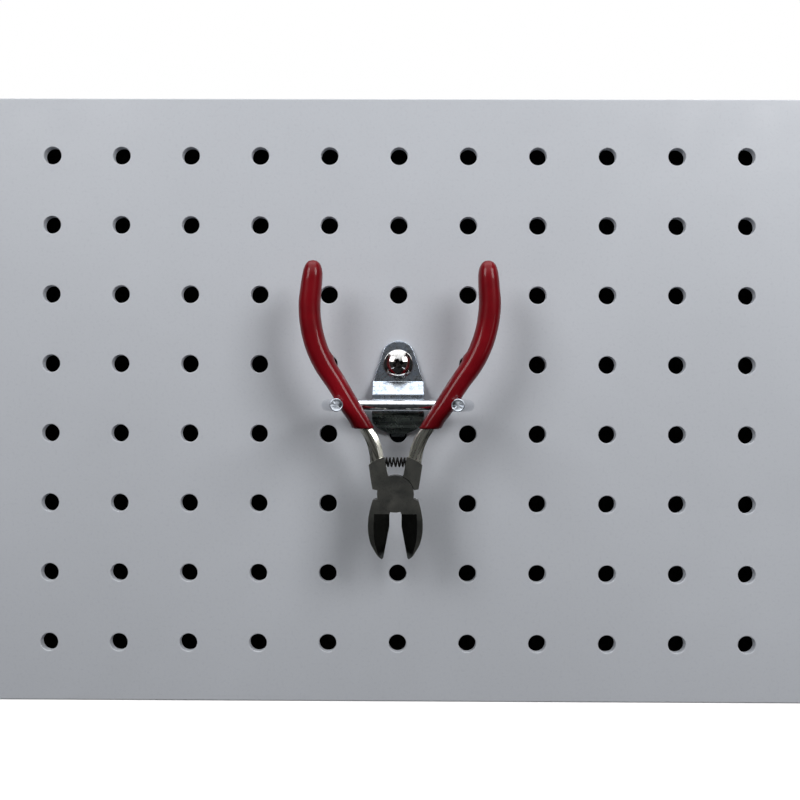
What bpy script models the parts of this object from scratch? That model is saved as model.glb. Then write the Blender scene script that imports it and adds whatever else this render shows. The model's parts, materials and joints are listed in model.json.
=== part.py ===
"""Pegboard tool wall: a perforated white panel on a rail frame, a screwed-on
double-prong hook, and a pair of sprung side cutters hanging in the hook.

Metres. X runs right, Y into the wall, Z up. The origin is the centre of the
top rail's back face, which lies against the wall.
"""

import math

import bmesh
import bpy
from mathutils import Matrix, Vector

# Gap kept between pieces that touch.
GAP = 0.0003

# Panel and its grid of holes.
PITCH = 0.0254
HOLE_RADIUS = 0.003175
HOLE_SIDES = 16
COLUMNS = 11
ROWS = 8
PANEL_WIDTH = 0.300
PANEL_HEIGHT = 0.220
PANEL_THICKNESS = 0.0032

# Frame of rails and stiles behind the panel.
RAIL_DEPTH = 0.012
RAIL_WIDTH = 0.014
FRAME_SCREW_LENGTH = 0.028
FRAME_SCREW_RADIUS = 0.0015
FRAME_SCREW_HEAD = 0.0030
BACK_SHEET_THICKNESS = 0.0012
BACK_SHEET_Y = -0.0050
GROOVE_DEPTH = 0.0020
HANGER_X = 0.100
HANGER_WIDTH = 0.036
HANGER_HEIGHT = 0.0110
HANGER_THICKNESS = 0.0012
HANGER_SCREW_X = 0.0135
HANGER_SCREW_LENGTH = 0.0075
HANGER_SCREW_RADIUS = 0.0010
HANGER_SCREW_HEAD = 0.0021
KEYHOLE_RADIUS = 0.0030
KEYHOLE_Z = -0.0015
KEYHOLE_SLOT_TOP = 0.0024
KEYHOLE_SLOT_RADIUS = 0.0016
KEYHOLE_ROOM_HALF_WIDTH = 0.0045
KEYHOLE_ROOM_HALF_HEIGHT = 0.0048
KEYHOLE_ROOM_DEPTH = 0.0075

# Hook bracket, stamped from sheet. Heights are measured from the grid centre,
# and outward distances from the panel's front face.
SHEET = 0.0012
TAB_TOP = 0.0214
TAB_TIP_RADIUS = 0.0054
TAB_FOOT = 0.0062
BRACKET_HALF_WIDTH = 0.0094
CREST_TOP = 0.0017
CREST_FOOT = -0.0050
CREST_OUT = 0.0054
SHIELD_SHOULDER = -0.0080
SHIELD_FOOT = -0.0124
TONGUE_HALF_WIDTH = 0.0025
TONGUE_END = -0.0195
BRACKET_HOLE_RADIUS = 0.0022

# Prong wire across the crest.
WIRE_RADIUS = 0.0021
WIRE_HEIGHT = -0.0023
WIRE_BEND_RADIUS = 0.0042
WIRE_HALF_SPAN = 0.0248
WIRE_TOE_IN = math.radians(9.8)
PRONG_REACH = 0.045

# Screw and plug that hold the bracket.
SCREW_HEAD_RADIUS = 0.00535
SCREW_DOME_RADIUS = 0.0047
SCREW_RIM = 0.0007
SCREW_HEAD_HEIGHT = 0.0030
SCREW_SHANK_RADIUS = 0.0018
SCREW_LENGTH = 0.0105
SCREW_TURN = math.radians(20)
RECESS_LENGTH = 0.0052
RECESS_WIDTH = 0.0012
RECESS_DEPTH = 0.0017
PLUG_RADIUS = 0.0027
PLUG_SWELL = 0.0036
PLUG_LENGTH = 0.0095

# Side cutters, in their own frame: origin at the pivot, Z up the handles.
PIVOT_X = -0.00070
PIVOT_Z = -0.0327
CUTTER_OUT = 0.018
# Both handles lean to the right as they rise, from this height.
HANDLE_LEAN = 0.021
LEAN_START = 0.0075
HEAD_THICKNESS = 0.0062
TANG_THICKNESS = 0.0046
DISC_RADIUS = 0.0063
RIVET_RADIUS = 0.0020
RIVET_HEAD_RADIUS = 0.0029
RIVET_HEAD_DEPTH = 0.0010
RIVET_FACE_COVER = 0.0010
EDGE_ANGLE = math.radians(10.4)
JAW_LENGTH = 0.0227
JAW_TAPER_START = 0.0085
JAW_TAPER = math.radians(5)
FRONT_EDGE_LEVEL = 0.30
BACK_EDGE_LEVEL = 0.60
BACK_BEVEL_WIDTH = 0.0022
BACK_BEVEL_ENDS = (0.0100, 0.0240)
SPRING_HEIGHT = 0.0108
SPRING_RADIUS = 0.00150
SPRING_WIRE_RADIUS = 0.00025
SPRING_TURNS = 7
SPRING_STEPS = 10
SPRING_HALF_LENGTH = 0.0044
SEAT_RADIUS = 0.0021
SEAT_FLOOR_X = 0.0050

# Centre line of a handle: (x, z, half width), from the head to the tip.
TANG_SPINE = (
    (0.0064, 0.0095, 0.0023),
    (0.0069, 0.0140, 0.0023),
    (0.0083, 0.0184, 0.0022),
    (0.0108, 0.0224, 0.0019),
    (0.0163, 0.0306, 0.0019),
    (0.0211, 0.0380, 0.0018),
    (0.0255, 0.0446, 0.0018),
    (0.0284, 0.0510, 0.0018),
    (0.0303, 0.0580, 0.0017),
    (0.0310, 0.0650, 0.0016),
    (0.0306, 0.0710, 0.0014),
)
# Ground faces of a jaw: (distance below the pivot, outer edge of the front bevel).
FRONT_BEVEL = (
    (0.0068, 0.0073),
    (0.0120, 0.00745),
    (0.0165, 0.0071),
    (0.0205, 0.0059),
    (0.0240, 0.0051),
)
# Centre line of a grip: (x, z, half width, half depth), from mouth to tip.
GRIP_SPINE = (
    (0.0114, 0.0223, 0.0030, 0.0037),
    (0.0138, 0.0264, 0.0032, 0.0040),
    (0.0166, 0.0306, 0.0034, 0.0042),
    (0.0212, 0.0380, 0.0035, 0.0043),
    (0.0256, 0.0446, 0.0037, 0.0044),
    (0.0286, 0.0510, 0.0038, 0.0044),
    (0.0305, 0.0580, 0.0038, 0.0044),
    (0.0312, 0.0650, 0.0038, 0.0044),
    (0.0308, 0.0710, 0.0037, 0.0043),
    (0.0304, 0.0760, 0.0035, 0.0040),
    (0.0303, 0.0790, 0.0026, 0.0030),
    (0.0303, 0.0806, 0.0012, 0.0014),
)
GRIP_SIDES = 14
# A grip's mouth is level, so it is wider than a square cut across its slant.
MOUTH_SLANT = 1.18

# Levels that follow from the sizes above.
PANEL_BACK = -RAIL_DEPTH - GAP
FACE = PANEL_BACK - PANEL_THICKNESS
GRID_Z = -(PANEL_HEIGHT - RAIL_WIDTH) / 2
SCREW_Z = GRID_Z + PITCH / 2


def clear_scene():
    for obj in list(bpy.data.objects):
        bpy.data.objects.remove(obj, do_unlink=True)


def new_collection(name, hidden):
    collection = bpy.data.collections.new(name)
    bpy.context.scene.collection.children.link(collection)
    collection.hide_render = hidden
    return collection


def make_material(name, colour, roughness, metallic):
    material = bpy.data.materials.new(name)
    material.use_nodes = True
    shader = material.node_tree.nodes["Principled BSDF"]
    shader.inputs["Base Color"].default_value = (*colour, 1)
    shader.inputs["Roughness"].default_value = roughness
    shader.inputs["Metallic"].default_value = metallic
    return material


def add_object(name, mesh, material=None):
    """An object in the parts, or among the cutters when it has no material."""
    obj = bpy.data.objects.new(name, mesh)
    if material is None:
        CUTTERS.objects.link(obj)
        obj.hide_render = True
        obj.display_type = "WIRE"
    else:
        PARTS.objects.link(obj)
        mesh.materials.append(material)
    return obj


def bmesh_to_mesh(name, bm):
    bmesh.ops.recalc_face_normals(bm, faces=bm.faces)
    mesh = bpy.data.meshes.new(name)
    bm.to_mesh(mesh)
    bm.free()
    return mesh


def add_cube(bm, low, high):
    """A block between two corners."""
    low, high = Vector(low), Vector(high)
    size = high - low
    place = Matrix.Translation((low + high) / 2) @ Matrix.Diagonal((*size, 1))
    bmesh.ops.create_cube(bm, size=1, matrix=place)


def add_cylinder(bm, radius, start, end, sides):
    """A cylinder between two points."""
    start, end = Vector(start), Vector(end)
    run = end - start
    turn = run.to_track_quat("Z", "Y").to_matrix().to_4x4()
    place = Matrix.Translation((start + end) / 2) @ turn
    bmesh.ops.create_cone(
        bm,
        cap_ends=True,
        segments=sides,
        radius1=radius,
        radius2=radius,
        depth=run.length,
        matrix=place,
    )


def block(name, low, high, material=None):
    bm = bmesh.new()
    add_cube(bm, low, high)
    return add_object(name, bmesh_to_mesh(name, bm), material)


def rod(name, radius, start, end, sides):
    bm = bmesh.new()
    add_cylinder(bm, radius, start, end, sides)
    return add_object(name, bmesh_to_mesh(name, bm))


def boolean(target, operation, *others):
    for other in others:
        modifier = target.modifiers.new(other.name, "BOOLEAN")
        modifier.operation = operation
        modifier.object = other


def cut(target, *cutters):
    boolean(target, "DIFFERENCE", *cutters)


def mesh_of_curve(name, curve):
    """The curve's evaluated mesh with its caps welded. The curve is removed."""
    obj = bpy.data.objects.new(name + "_curve", curve)
    bpy.context.scene.collection.objects.link(obj)
    graph = bpy.context.evaluated_depsgraph_get()
    mesh = bpy.data.meshes.new_from_object(obj.evaluated_get(graph))
    bpy.data.objects.remove(obj, do_unlink=True)
    bm = bmesh.new()
    bm.from_mesh(mesh)
    bmesh.ops.remove_doubles(bm, verts=bm.verts, dist=0.000001)
    return bmesh_to_mesh(name, bm)


def prism_mesh(name, outline, thickness):
    """A flat outline in X and Z, thickened evenly to both sides along Y."""
    curve = bpy.data.curves.new(name, "CURVE")
    curve.dimensions = "2D"
    curve.fill_mode = "BOTH"
    curve.extrude = thickness / 2
    spline = curve.splines.new("POLY")
    spline.points.add(len(outline) - 1)
    for point, (x, z) in zip(spline.points, outline):
        point.co = (x, z, 0, 1)
    spline.use_cyclic_u = True
    mesh = mesh_of_curve(name, curve)
    mesh.transform(Matrix.Rotation(math.pi / 2, 4, "X"))
    return mesh


def tube_mesh(name, points, radius, resolution):
    """A round wire with filled ends along the points."""
    curve = bpy.data.curves.new(name, "CURVE")
    curve.dimensions = "3D"
    curve.bevel_depth = radius
    curve.bevel_resolution = resolution
    curve.use_fill_caps = True
    spline = curve.splines.new("POLY")
    spline.points.add(len(points) - 1)
    for point, place in zip(spline.points, points):
        point.co = (*place, 1)
    return mesh_of_curve(name, curve)


def turned(name, profile, sides, material=None):
    """A profile of (radius, height) turned about Z, listed down its outer side."""
    mesh = bpy.data.meshes.new(name)
    bm = bmesh.new()
    points = [bm.verts.new((radius, 0, height)) for radius, height in profile]
    for first, second in zip(points, points[1:]):
        bm.edges.new((first, second))
    if profile[0][0] > 0:
        bm.edges.new((points[-1], points[0]))
    bm.to_mesh(mesh)
    bm.free()
    obj = add_object(name, mesh, material)
    screw = obj.modifiers.new("turn", "SCREW")
    screw.axis = "Z"
    screw.steps = sides
    screw.render_steps = sides
    screw.use_merge_vertices = True
    screw.merge_threshold = 0.00001
    screw.use_normal_calculate = profile[0][0] > 0
    return obj


def arc(centre, radius, start, end, count):
    """Points along an arc, angles in degrees from +X towards +Z."""
    step = (end - start) / (count - 1)
    turns = [math.radians(start + step * index) for index in range(count)]
    return [(centre[0] + radius * math.cos(t), centre[1] + radius * math.sin(t)) for t in turns]


def chamfered_ring(centre, across, half_width, half_depth):
    """Eight points of a forged bar's section, with broad chamfers."""
    quarter = ((1, 0.45), (0.5, 1), (-0.5, 1), (-1, 0.45))
    corners = (*quarter, *((-wide, -deep) for wide, deep in quarter))
    points = []
    for wide, deep in corners:
        x = centre[0] + across[0] * wide * half_width
        z = centre[1] + across[1] * wide * half_width
        points.append(Vector((x, deep * half_depth, z)))
    return points


def ring(centre, across, half_width, half_depth, sides, squareness):
    """Points of a rounded section; squareness 1 is an ellipse, and lower is boxier."""
    points = []
    for index in range(sides):
        turn = 2 * math.pi * (index + 0.5) / sides
        c, s = math.cos(turn), math.sin(turn)
        wide = math.copysign(abs(c) ** squareness, c) * half_width
        deep = math.copysign(abs(s) ** squareness, s) * half_depth
        points.append(Vector((centre[0] + across[0] * wide, deep, centre[1] + across[1] * wide)))
    return points


def spine_normals(spine):
    """The unit direction across a centre line at each of its points."""
    normals = []
    for index in range(len(spine)):
        before = spine[max(index - 1, 0)]
        after = spine[min(index + 1, len(spine) - 1)]
        along = Vector((after[0] - before[0], after[1] - before[1])).normalized()
        normals.append((along[1], -along[0]))
    return normals


def smooth_spine(spine, steps):
    """The centre line with extra points between its own, on a Catmull-Rom curve."""
    ends = [Vector(point) for point in (spine[0], *spine, spine[-1])]
    points = []
    for before, start, end, after in zip(ends, ends[1:], ends[2:], ends[3:]):
        for step in range(steps):
            t = step / steps
            bend = (2 * before - 5 * start + 4 * end - after) * t**2
            twist = (3 * start - 3 * end + after - before) * t**3
            points.append((2 * start + (end - before) * t + bend + twist) / 2)
    points.append(ends[-1])
    return points


def bridge(bm, first, second):
    count = len(first)
    for index in range(count):
        following = (index + 1) % count
        bm.faces.new((first[index], first[following], second[following], second[index]))


def loft_mesh(name, rings):
    """A closed skin through rings of points, with a cap at each end."""
    bm = bmesh.new()
    loops = [[bm.verts.new(point) for point in points] for points in rings]
    for first, second in zip(loops, loops[1:]):
        bridge(bm, first, second)
    bm.faces.new(loops[0])
    bm.faces.new(loops[-1])
    return bmesh_to_mesh(name, bm)


# ---------------------------------------------------------------- panel


def hole_centres():
    for row in range(ROWS):
        for column in range(COLUMNS):
            x = (column - (COLUMNS - 1) / 2) * PITCH
            yield x, GRID_Z + ((ROWS - 1) / 2 - row) * PITCH


def make_panel():
    half = PANEL_WIDTH / 2
    bottom = GRID_Z - PANEL_HEIGHT / 2
    top = GRID_Z + PANEL_HEIGHT / 2
    panel = block("peg_panel", (-half, FACE, bottom), (half, PANEL_BACK, top), WHITE)
    bm = bmesh.new()
    for x, z in hole_centres():
        add_cylinder(bm, HOLE_RADIUS, (x, FACE - 0.002, z), (x, PANEL_BACK + 0.002, z), HOLE_SIDES)
    drill = add_object("panel_drill", bmesh_to_mesh("panel_drill", bm))
    cut(panel, drill)


# ---------------------------------------------------------------- rail frame


def countersunk_screw(name, radius, head, length, material):
    """A countersunk screw along Z, its head flat at Z = 0 and its point down."""
    profile = (
        (0, 0),
        (head, 0),
        (radius, -(head - radius)),
        (radius, -length + 2 * radius),
        (0, -length),
    )
    return turned(name, profile, 10, material)


def screw_pocket(name, radius, head, length):
    """The hole a countersunk screw leaves, a gap larger all round."""
    mouth = head + 2 * GAP
    shaft = radius + GAP
    profile = (
        (0, 0.001),
        (mouth, 0.001),
        (mouth, -GAP),
        (shaft, -GAP - (mouth - shaft)),
        (shaft, -length - GAP),
        (0, -length - GAP),
    )
    return turned(name, profile, 10)


def make_rail(name, z):
    half = PANEL_WIDTH / 2
    return block(name, (-half, -RAIL_DEPTH, z - RAIL_WIDTH / 2), (half, 0, z + RAIL_WIDTH / 2), WOOD)


def make_back_sheet():
    """A thin dark sheet with its edges in a groove round the frame. Returns the groove's cutter."""
    half_width = PANEL_WIDTH / 2 - RAIL_WIDTH + GROOVE_DEPTH - GAP
    half_height = PANEL_HEIGHT / 2 - RAIL_WIDTH + GROOVE_DEPTH - GAP
    low = Vector((-half_width, BACK_SHEET_Y, GRID_Z - half_height))
    high = Vector((half_width, BACK_SHEET_Y + BACK_SHEET_THICKNESS, GRID_Z + half_height))
    block("back_sheet", low, high, DARK_SHEET)
    room = Vector((GAP, GAP, GAP))
    return block("back_sheet_groove", low - room, high + room)


def make_frame():
    bottom_z = GRID_Z * 2
    rails = {1: make_rail("top_rail", 0), -1: make_rail("bottom_rail", bottom_z)}
    groove = make_back_sheet()
    cut(rails[1], groove)
    cut(rails[-1], groove)
    stile_top = -RAIL_WIDTH / 2 - GAP
    stile_bottom = bottom_z + RAIL_WIDTH / 2 + GAP
    outer = PANEL_WIDTH / 2
    number = 0
    for side, name in ((-1, "left_stile"), (1, "right_stile")):
        xs = sorted((side * outer, side * (outer - RAIL_WIDTH)))
        stile = block(name, (xs[0], -RAIL_DEPTH, stile_bottom), (xs[1], 0, stile_top), WOOD)
        cut(stile, groove)
        for end, rail in rails.items():
            number += 1
            z = GRID_Z + end * (PANEL_HEIGHT / 2 - GAP)
            place = Matrix.Translation((side * (outer - RAIL_WIDTH / 2), -RAIL_DEPTH / 2, z))
            if end < 0:
                place = place @ Matrix.Rotation(math.pi, 4, "X")
            sizes = (FRAME_SCREW_RADIUS, FRAME_SCREW_HEAD, FRAME_SCREW_LENGTH)
            screw = countersunk_screw(f"frame_screw_{number}", *sizes, ZINC)
            pocket = screw_pocket(f"frame_screw_hole_{number}", *sizes)
            screw.matrix_world = place
            pocket.matrix_world = place
            cut(rail, pocket)
            cut(stile, pocket)
    return rails[1]


def make_hanger(name, x, rail, first_number):
    """A keyhole plate set into the top rail's back, with its two screws."""
    back = -GAP
    front = back - HANGER_THICKNESS
    half_width, half_height = HANGER_WIDTH / 2, HANGER_HEIGHT / 2
    low, high = (x - half_width, front, -half_height), (x + half_width, back, half_height)
    plate = block(name, low, high, ZINC)
    bm = bmesh.new()
    recess_low = (x - half_width - GAP, front - GAP, -half_height - GAP)
    add_cube(bm, recess_low, (x + half_width + GAP, 0.001, half_height + GAP))
    cut(rail, add_object(name + "_recess", bmesh_to_mesh(name + "_recess", bm)))
    room_low = (x - KEYHOLE_ROOM_HALF_WIDTH, -KEYHOLE_ROOM_DEPTH, -KEYHOLE_ROOM_HALF_HEIGHT)
    room_high = (x + KEYHOLE_ROOM_HALF_WIDTH, 0.001, KEYHOLE_ROOM_HALF_HEIGHT)
    cut(rail, block(name + "_head_room", room_low, room_high))

    round_ends = (x, -0.003, KEYHOLE_Z), (x, 0.001, KEYHOLE_Z)
    round_hole = rod(name + "_round", KEYHOLE_RADIUS, *round_ends, 16)
    slot_outline = arc((x, KEYHOLE_SLOT_TOP), KEYHOLE_SLOT_RADIUS, 0, 180, 7)
    slot_outline += [(x - KEYHOLE_SLOT_RADIUS, KEYHOLE_Z), (x + KEYHOLE_SLOT_RADIUS, KEYHOLE_Z)]
    slot = add_object(name + "_slot", prism_mesh(name + "_slot", slot_outline, 0.006))
    cut(plate, round_hole, slot)

    for index, side in enumerate((-1, 1)):
        number = first_number + index
        place = Matrix.Translation((x + side * HANGER_SCREW_X, back - GAP, 0))
        place = place @ Matrix.Rotation(-math.pi / 2, 4, "X")
        sizes = (HANGER_SCREW_RADIUS, HANGER_SCREW_HEAD, HANGER_SCREW_LENGTH)
        screw = countersunk_screw(f"hanger_screw_{number}", *sizes, ZINC)
        pocket = screw_pocket(f"hanger_screw_hole_{number}", *sizes)
        screw.matrix_world = place
        pocket.matrix_world = place
        cut(plate, pocket)
        cut(rail, pocket)


# ---------------------------------------------------------------- hook


def bracket_half_width(z):
    """Half the bracket's width at a height above the grid centre."""
    tip_centre = TAB_TOP - TAB_TIP_RADIUS
    reach = Vector((BRACKET_HALF_WIDTH, TAB_FOOT - tip_centre))
    lean = math.acos(TAB_TIP_RADIUS / reach.length) + math.atan2(reach.y, reach.x)
    tangent_z = tip_centre + TAB_TIP_RADIUS * math.sin(lean)
    tangent_x = TAB_TIP_RADIUS * math.cos(lean)
    if z > tangent_z:
        return math.sqrt(max(TAB_TIP_RADIUS**2 - (z - tip_centre) ** 2, 0.0010**2))
    if z > TAB_FOOT:
        share = (tangent_z - z) / (tangent_z - TAB_FOOT)
        return tangent_x + share * (BRACKET_HALF_WIDTH - tangent_x)
    if z > SHIELD_SHOULDER:
        return BRACKET_HALF_WIDTH
    if z > SHIELD_FOOT:
        share = (SHIELD_SHOULDER - z) / (SHIELD_SHOULDER - SHIELD_FOOT)
        drop = 1 - math.sqrt(1 - (0.95 * share) ** 2)
        return BRACKET_HALF_WIDTH - drop * (BRACKET_HALF_WIDTH - TONGUE_HALF_WIDTH)
    return TONGUE_HALF_WIDTH


def bracket_path():
    """The middle of the sheet from the tab's top to the tongue's end, as (z, outward)."""
    flat = GAP + SHEET / 2
    behind = -PANEL_THICKNESS - 0.0014
    tip_centre = TAB_TOP - TAB_TIP_RADIUS
    tip_turns = [math.radians(angle) for angle in (90, 75, 55, 35)]
    tip = [(tip_centre + TAB_TIP_RADIUS * math.sin(turn), flat) for turn in tip_turns]
    slope = CREST_OUT - flat
    shield = [
        (CREST_FOOT + share * (SHIELD_FOOT - CREST_FOOT), CREST_OUT + share * (flat - CREST_OUT))
        for share in (0, 0.4, 0.6, 0.8, 0.92, 1)
    ]
    return [
        *tip,
        (0.0125, flat),
        (TAB_FOOT, flat),
        (CREST_TOP, flat + slope),
        *shield,
        (SHIELD_FOOT - 0.0006, -0.0004),
        (SHIELD_FOOT - 0.0008, behind + 0.0008),
        (SHIELD_FOOT - 0.0016, behind),
        (TONGUE_END, behind),
    ]


def make_bracket():
    bm = bmesh.new()
    rows = []
    for z, out in bracket_path():
        half = bracket_half_width(z)
        places = [(share * half, FACE - out, GRID_Z + z) for share in (-1, -0.5, 0, 0.5, 1)]
        rows.append([bm.verts.new(place) for place in places])
    for upper, lower in zip(rows, rows[1:]):
        for index in range(len(upper) - 1):
            bm.faces.new((upper[index], upper[index + 1], lower[index + 1], lower[index]))
    bracket = add_object("hook_bracket", bmesh_to_mesh("hook_bracket", bm), ZINC)
    solidify = bracket.modifiers.new("sheet", "SOLIDIFY")
    solidify.thickness = SHEET
    solidify.offset = 0
    solidify.use_even_offset = True
    start, end = (0, FACE - 0.004, SCREW_Z), (0, FACE + 0.002, SCREW_Z)
    cut(bracket, rod("bracket_drill", BRACKET_HOLE_RADIUS, start, end, 16))


def wire_path():
    """The wire's centre line as (x, outward), from the left tip to the right."""
    out = GAP + CREST_OUT + SHEET / 2 + WIRE_RADIUS
    centre = (WIRE_HALF_SPAN - WIRE_BEND_RADIUS, out + WIRE_BEND_RADIUS)
    bend = arc(centre, WIRE_BEND_RADIUS, -90, math.degrees(WIRE_TOE_IN), 11)
    last_x, last_out = bend[-1]
    tip = (last_x - (PRONG_REACH - last_out) * math.tan(WIRE_TOE_IN), PRONG_REACH)
    right = [*bend, tip]
    left = [(-x, y) for x, y in reversed(right)]
    return left + right


def make_wire():
    points = [(x, FACE - out, GRID_Z + WIRE_HEIGHT) for x, out in wire_path()]
    add_object("prong_wire", tube_mesh("prong_wire", points, WIRE_RADIUS, 4), BRIGHT_ZINC)


def make_hook_screw():
    """Pan-head screw along Y with a crossed recess, in a split nylon plug."""
    under = GAP + SHEET + 2 * GAP
    rise = SCREW_HEAD_HEIGHT - SCREW_RIM
    turns = [math.radians(angle) for angle in (0, 22, 45, 68, 90)]
    dome = [(SCREW_DOME_RADIUS * math.sin(t), SCREW_RIM + rise * math.cos(t)) for t in turns]
    profile = [
        *dome,
        (SCREW_HEAD_RADIUS, SCREW_RIM * 0.8),
        (SCREW_HEAD_RADIUS, 0),
        (SCREW_SHANK_RADIUS, 0),
        (SCREW_SHANK_RADIUS, -SCREW_LENGTH + 0.002),
        (0, -SCREW_LENGTH),
    ]
    place = Matrix.Translation((0, FACE - under, SCREW_Z))
    place = place @ Matrix.Rotation(math.pi / 2, 4, "X")
    screw = turned("hook_screw", profile, 20, BRIGHT_ZINC)
    screw.matrix_world = place
    bm = bmesh.new()
    low, high = SCREW_HEAD_HEIGHT - RECESS_DEPTH, SCREW_HEAD_HEIGHT + 0.001
    half_length, half_width = RECESS_LENGTH / 2, RECESS_WIDTH / 2
    add_cube(bm, (-half_length, -half_width, low), (half_length, half_width, high))
    blade = add_object("recess_blade", bmesh_to_mesh("recess_blade", bm))
    cross = add_object("recess_cross", blade.data.copy())
    blade.matrix_world = place @ Matrix.Rotation(SCREW_TURN, 4, "Z")
    cross.matrix_world = place @ Matrix.Rotation(SCREW_TURN + math.pi / 2, 4, "Z")
    cut(screw, blade, cross)

    bore = SCREW_SHANK_RADIUS + GAP
    swell = -PANEL_THICKNESS - 2 * GAP
    plug_profile = (
        (bore, 0),
        (PLUG_RADIUS, 0),
        (PLUG_RADIUS, swell),
        (PLUG_SWELL, swell - 0.0007),
        (PLUG_SWELL, swell - 0.0030),
        (PLUG_RADIUS, -PLUG_LENGTH),
        (bore, -PLUG_LENGTH),
    )
    plug = turned("screw_plug", plug_profile, 14, NYLON)
    plug.matrix_world = Matrix.Translation((0, FACE, SCREW_Z)) @ Matrix.Rotation(math.pi / 2, 4, "X")


# ---------------------------------------------------------------- side cutters


def lever_outline():
    """One lever's head seen from the front: arm up to the right, disc, and jaw down to the left."""
    edge = math.tan(EDGE_ANGLE)
    jaw_outer = [
        (-0.0079, -0.0023),
        (-0.0087, -0.0052),
        (-0.0093, -0.0086),
        (-0.0094, -0.0118),
        (-0.0091, -0.0146),
        (-0.0084, -0.0172),
        (-0.0073, -0.0193),
        (-0.0061, -0.0212),
    ]
    jaw_inner = [
        (-edge * JAW_LENGTH - 0.0005, -JAW_LENGTH),
        (-edge * JAW_LENGTH, -JAW_LENGTH + 0.0004),
        (-edge * 0.0115, -0.0115),
        (-0.0021, -0.0074),
    ]
    arm_outer = [
        (0.0079, 0.0017),
        (0.0085, 0.0052),
        (0.0092, 0.0100),
        (0.0080, 0.0109),
        (0.0065, 0.0118),
    ]
    arm_inner = [
        (0.0047, 0.0125),
        (0.0039, 0.0125),
        (0.0037, 0.0116),
        (0.0027, 0.0066),
    ]
    upper_disc = arc((0, 0), DISC_RADIUS, 67, 195, 19)
    lower_disc = arc((0, 0), DISC_RADIUS, -106, 12, 18)
    return upper_disc + jaw_outer + jaw_inner + lower_disc + arm_outer + arm_inner


def leaning(spine, side):
    """A handle's centre line with the lean that both handles share."""
    return [
        (x + side * HANDLE_LEAN * max(z - LEAN_START, 0), z, *sizes)
        for x, z, *sizes in spine
    ]


def tang_rings(side):
    """Sections of a handle's steel from the head to its end."""
    half_depth = TANG_THICKNESS / 2
    spine = leaning(TANG_SPINE, side)
    return [
        chamfered_ring((x, z), across, half, half_depth)
        for (x, z, half), across in zip(spine, spine_normals(spine))
    ]


def pocket_rings(mouth_z, side):
    """Sections of the pocket that takes a handle's steel, from its level mouth to its end."""
    spine = [point for point in leaning(TANG_SPINE, side) if point[1] > mouth_z]
    half_depth = TANG_THICKNESS / 2 + GAP
    normals = spine_normals(spine)
    x, _, half = spine[0]
    rings = [ring((x, mouth_z), (1, 0), (half + GAP) * MOUTH_SLANT, half_depth, GRIP_SIDES, 0.55)]
    for (x, z, half), across in zip(spine[1:], normals[1:]):
        rings.append(ring((x, z), across, half + GAP, half_depth, GRIP_SIDES, 0.55))
    x, z, half = spine[-1]
    end = (x, z + 2 * GAP)
    rings.append(ring(end, normals[-1], half + GAP, half_depth, GRIP_SIDES, 0.55))
    return rings


def mirrored(mesh, side):
    """The mesh as drawn for side 1, or its mirror image in X for side -1."""
    if side < 0:
        mesh.transform(Matrix.Diagonal((-1, 1, 1, 1)))
        mesh.flip_normals()
    return mesh


def jaw_half_thickness(depth):
    """Half a jaw's thickness at a distance below the pivot."""
    return HEAD_THICKNESS / 2 - max(depth - JAW_TAPER_START, 0) * math.tan(JAW_TAPER)


def bevel_cutter(name, side, face, stations, edge_level):
    """What grinding removes from one face of a jaw, down to its cutting edge.

    face is -1 in front and 1 behind. edge_level is the edge's place in the jaw's
    half thickness, towards the back.
    """
    outside = face * HEAD_THICKNESS
    rings = []
    for depth, outer_x in stations:
        half = jaw_half_thickness(depth)
        edge_x = math.tan(EDGE_ANGLE) * depth
        level = edge_level * half
        section = (
            (-outer_x, face * half),
            (-edge_x, level),
            (0.001, level),
            (0.001, outside),
            (-outer_x, outside),
        )
        rings.append([Vector((x, y, -depth)) for x, y in section])
    return add_object(name, mirrored(loft_mesh(name, rings), side))


def taper_cutter(name, side, face):
    """The wedge that thins a jaw towards its tip on one face."""
    bm = bmesh.new()
    depths = sorted((0, face * 0.004))
    add_cube(bm, (-0.016, depths[0], -0.030), (0.002, depths[1], 0))
    mesh = bmesh_to_mesh(name, bm)
    place = Matrix.Translation((0, face * HEAD_THICKNESS / 2, -JAW_TAPER_START))
    mesh.transform(place @ Matrix.Rotation(-face * JAW_TAPER, 4, "X"))
    return add_object(name, mirrored(mesh, side))


def jaw_cutters(name, side):
    """A jaw's ground faces: a deep bevel in front, a small one behind, and the taper."""
    back_bevel = [(depth, math.tan(EDGE_ANGLE) * depth + BACK_BEVEL_WIDTH) for depth in BACK_BEVEL_ENDS]
    return [
        bevel_cutter(name + "_front_bevel", side, -1, FRONT_BEVEL, FRONT_EDGE_LEVEL),
        bevel_cutter(name + "_back_bevel", side, 1, back_bevel, BACK_EDGE_LEVEL),
        taper_cutter(name + "_front_taper", side, -1),
        taper_cutter(name + "_back_taper", side, 1),
    ]


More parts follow.
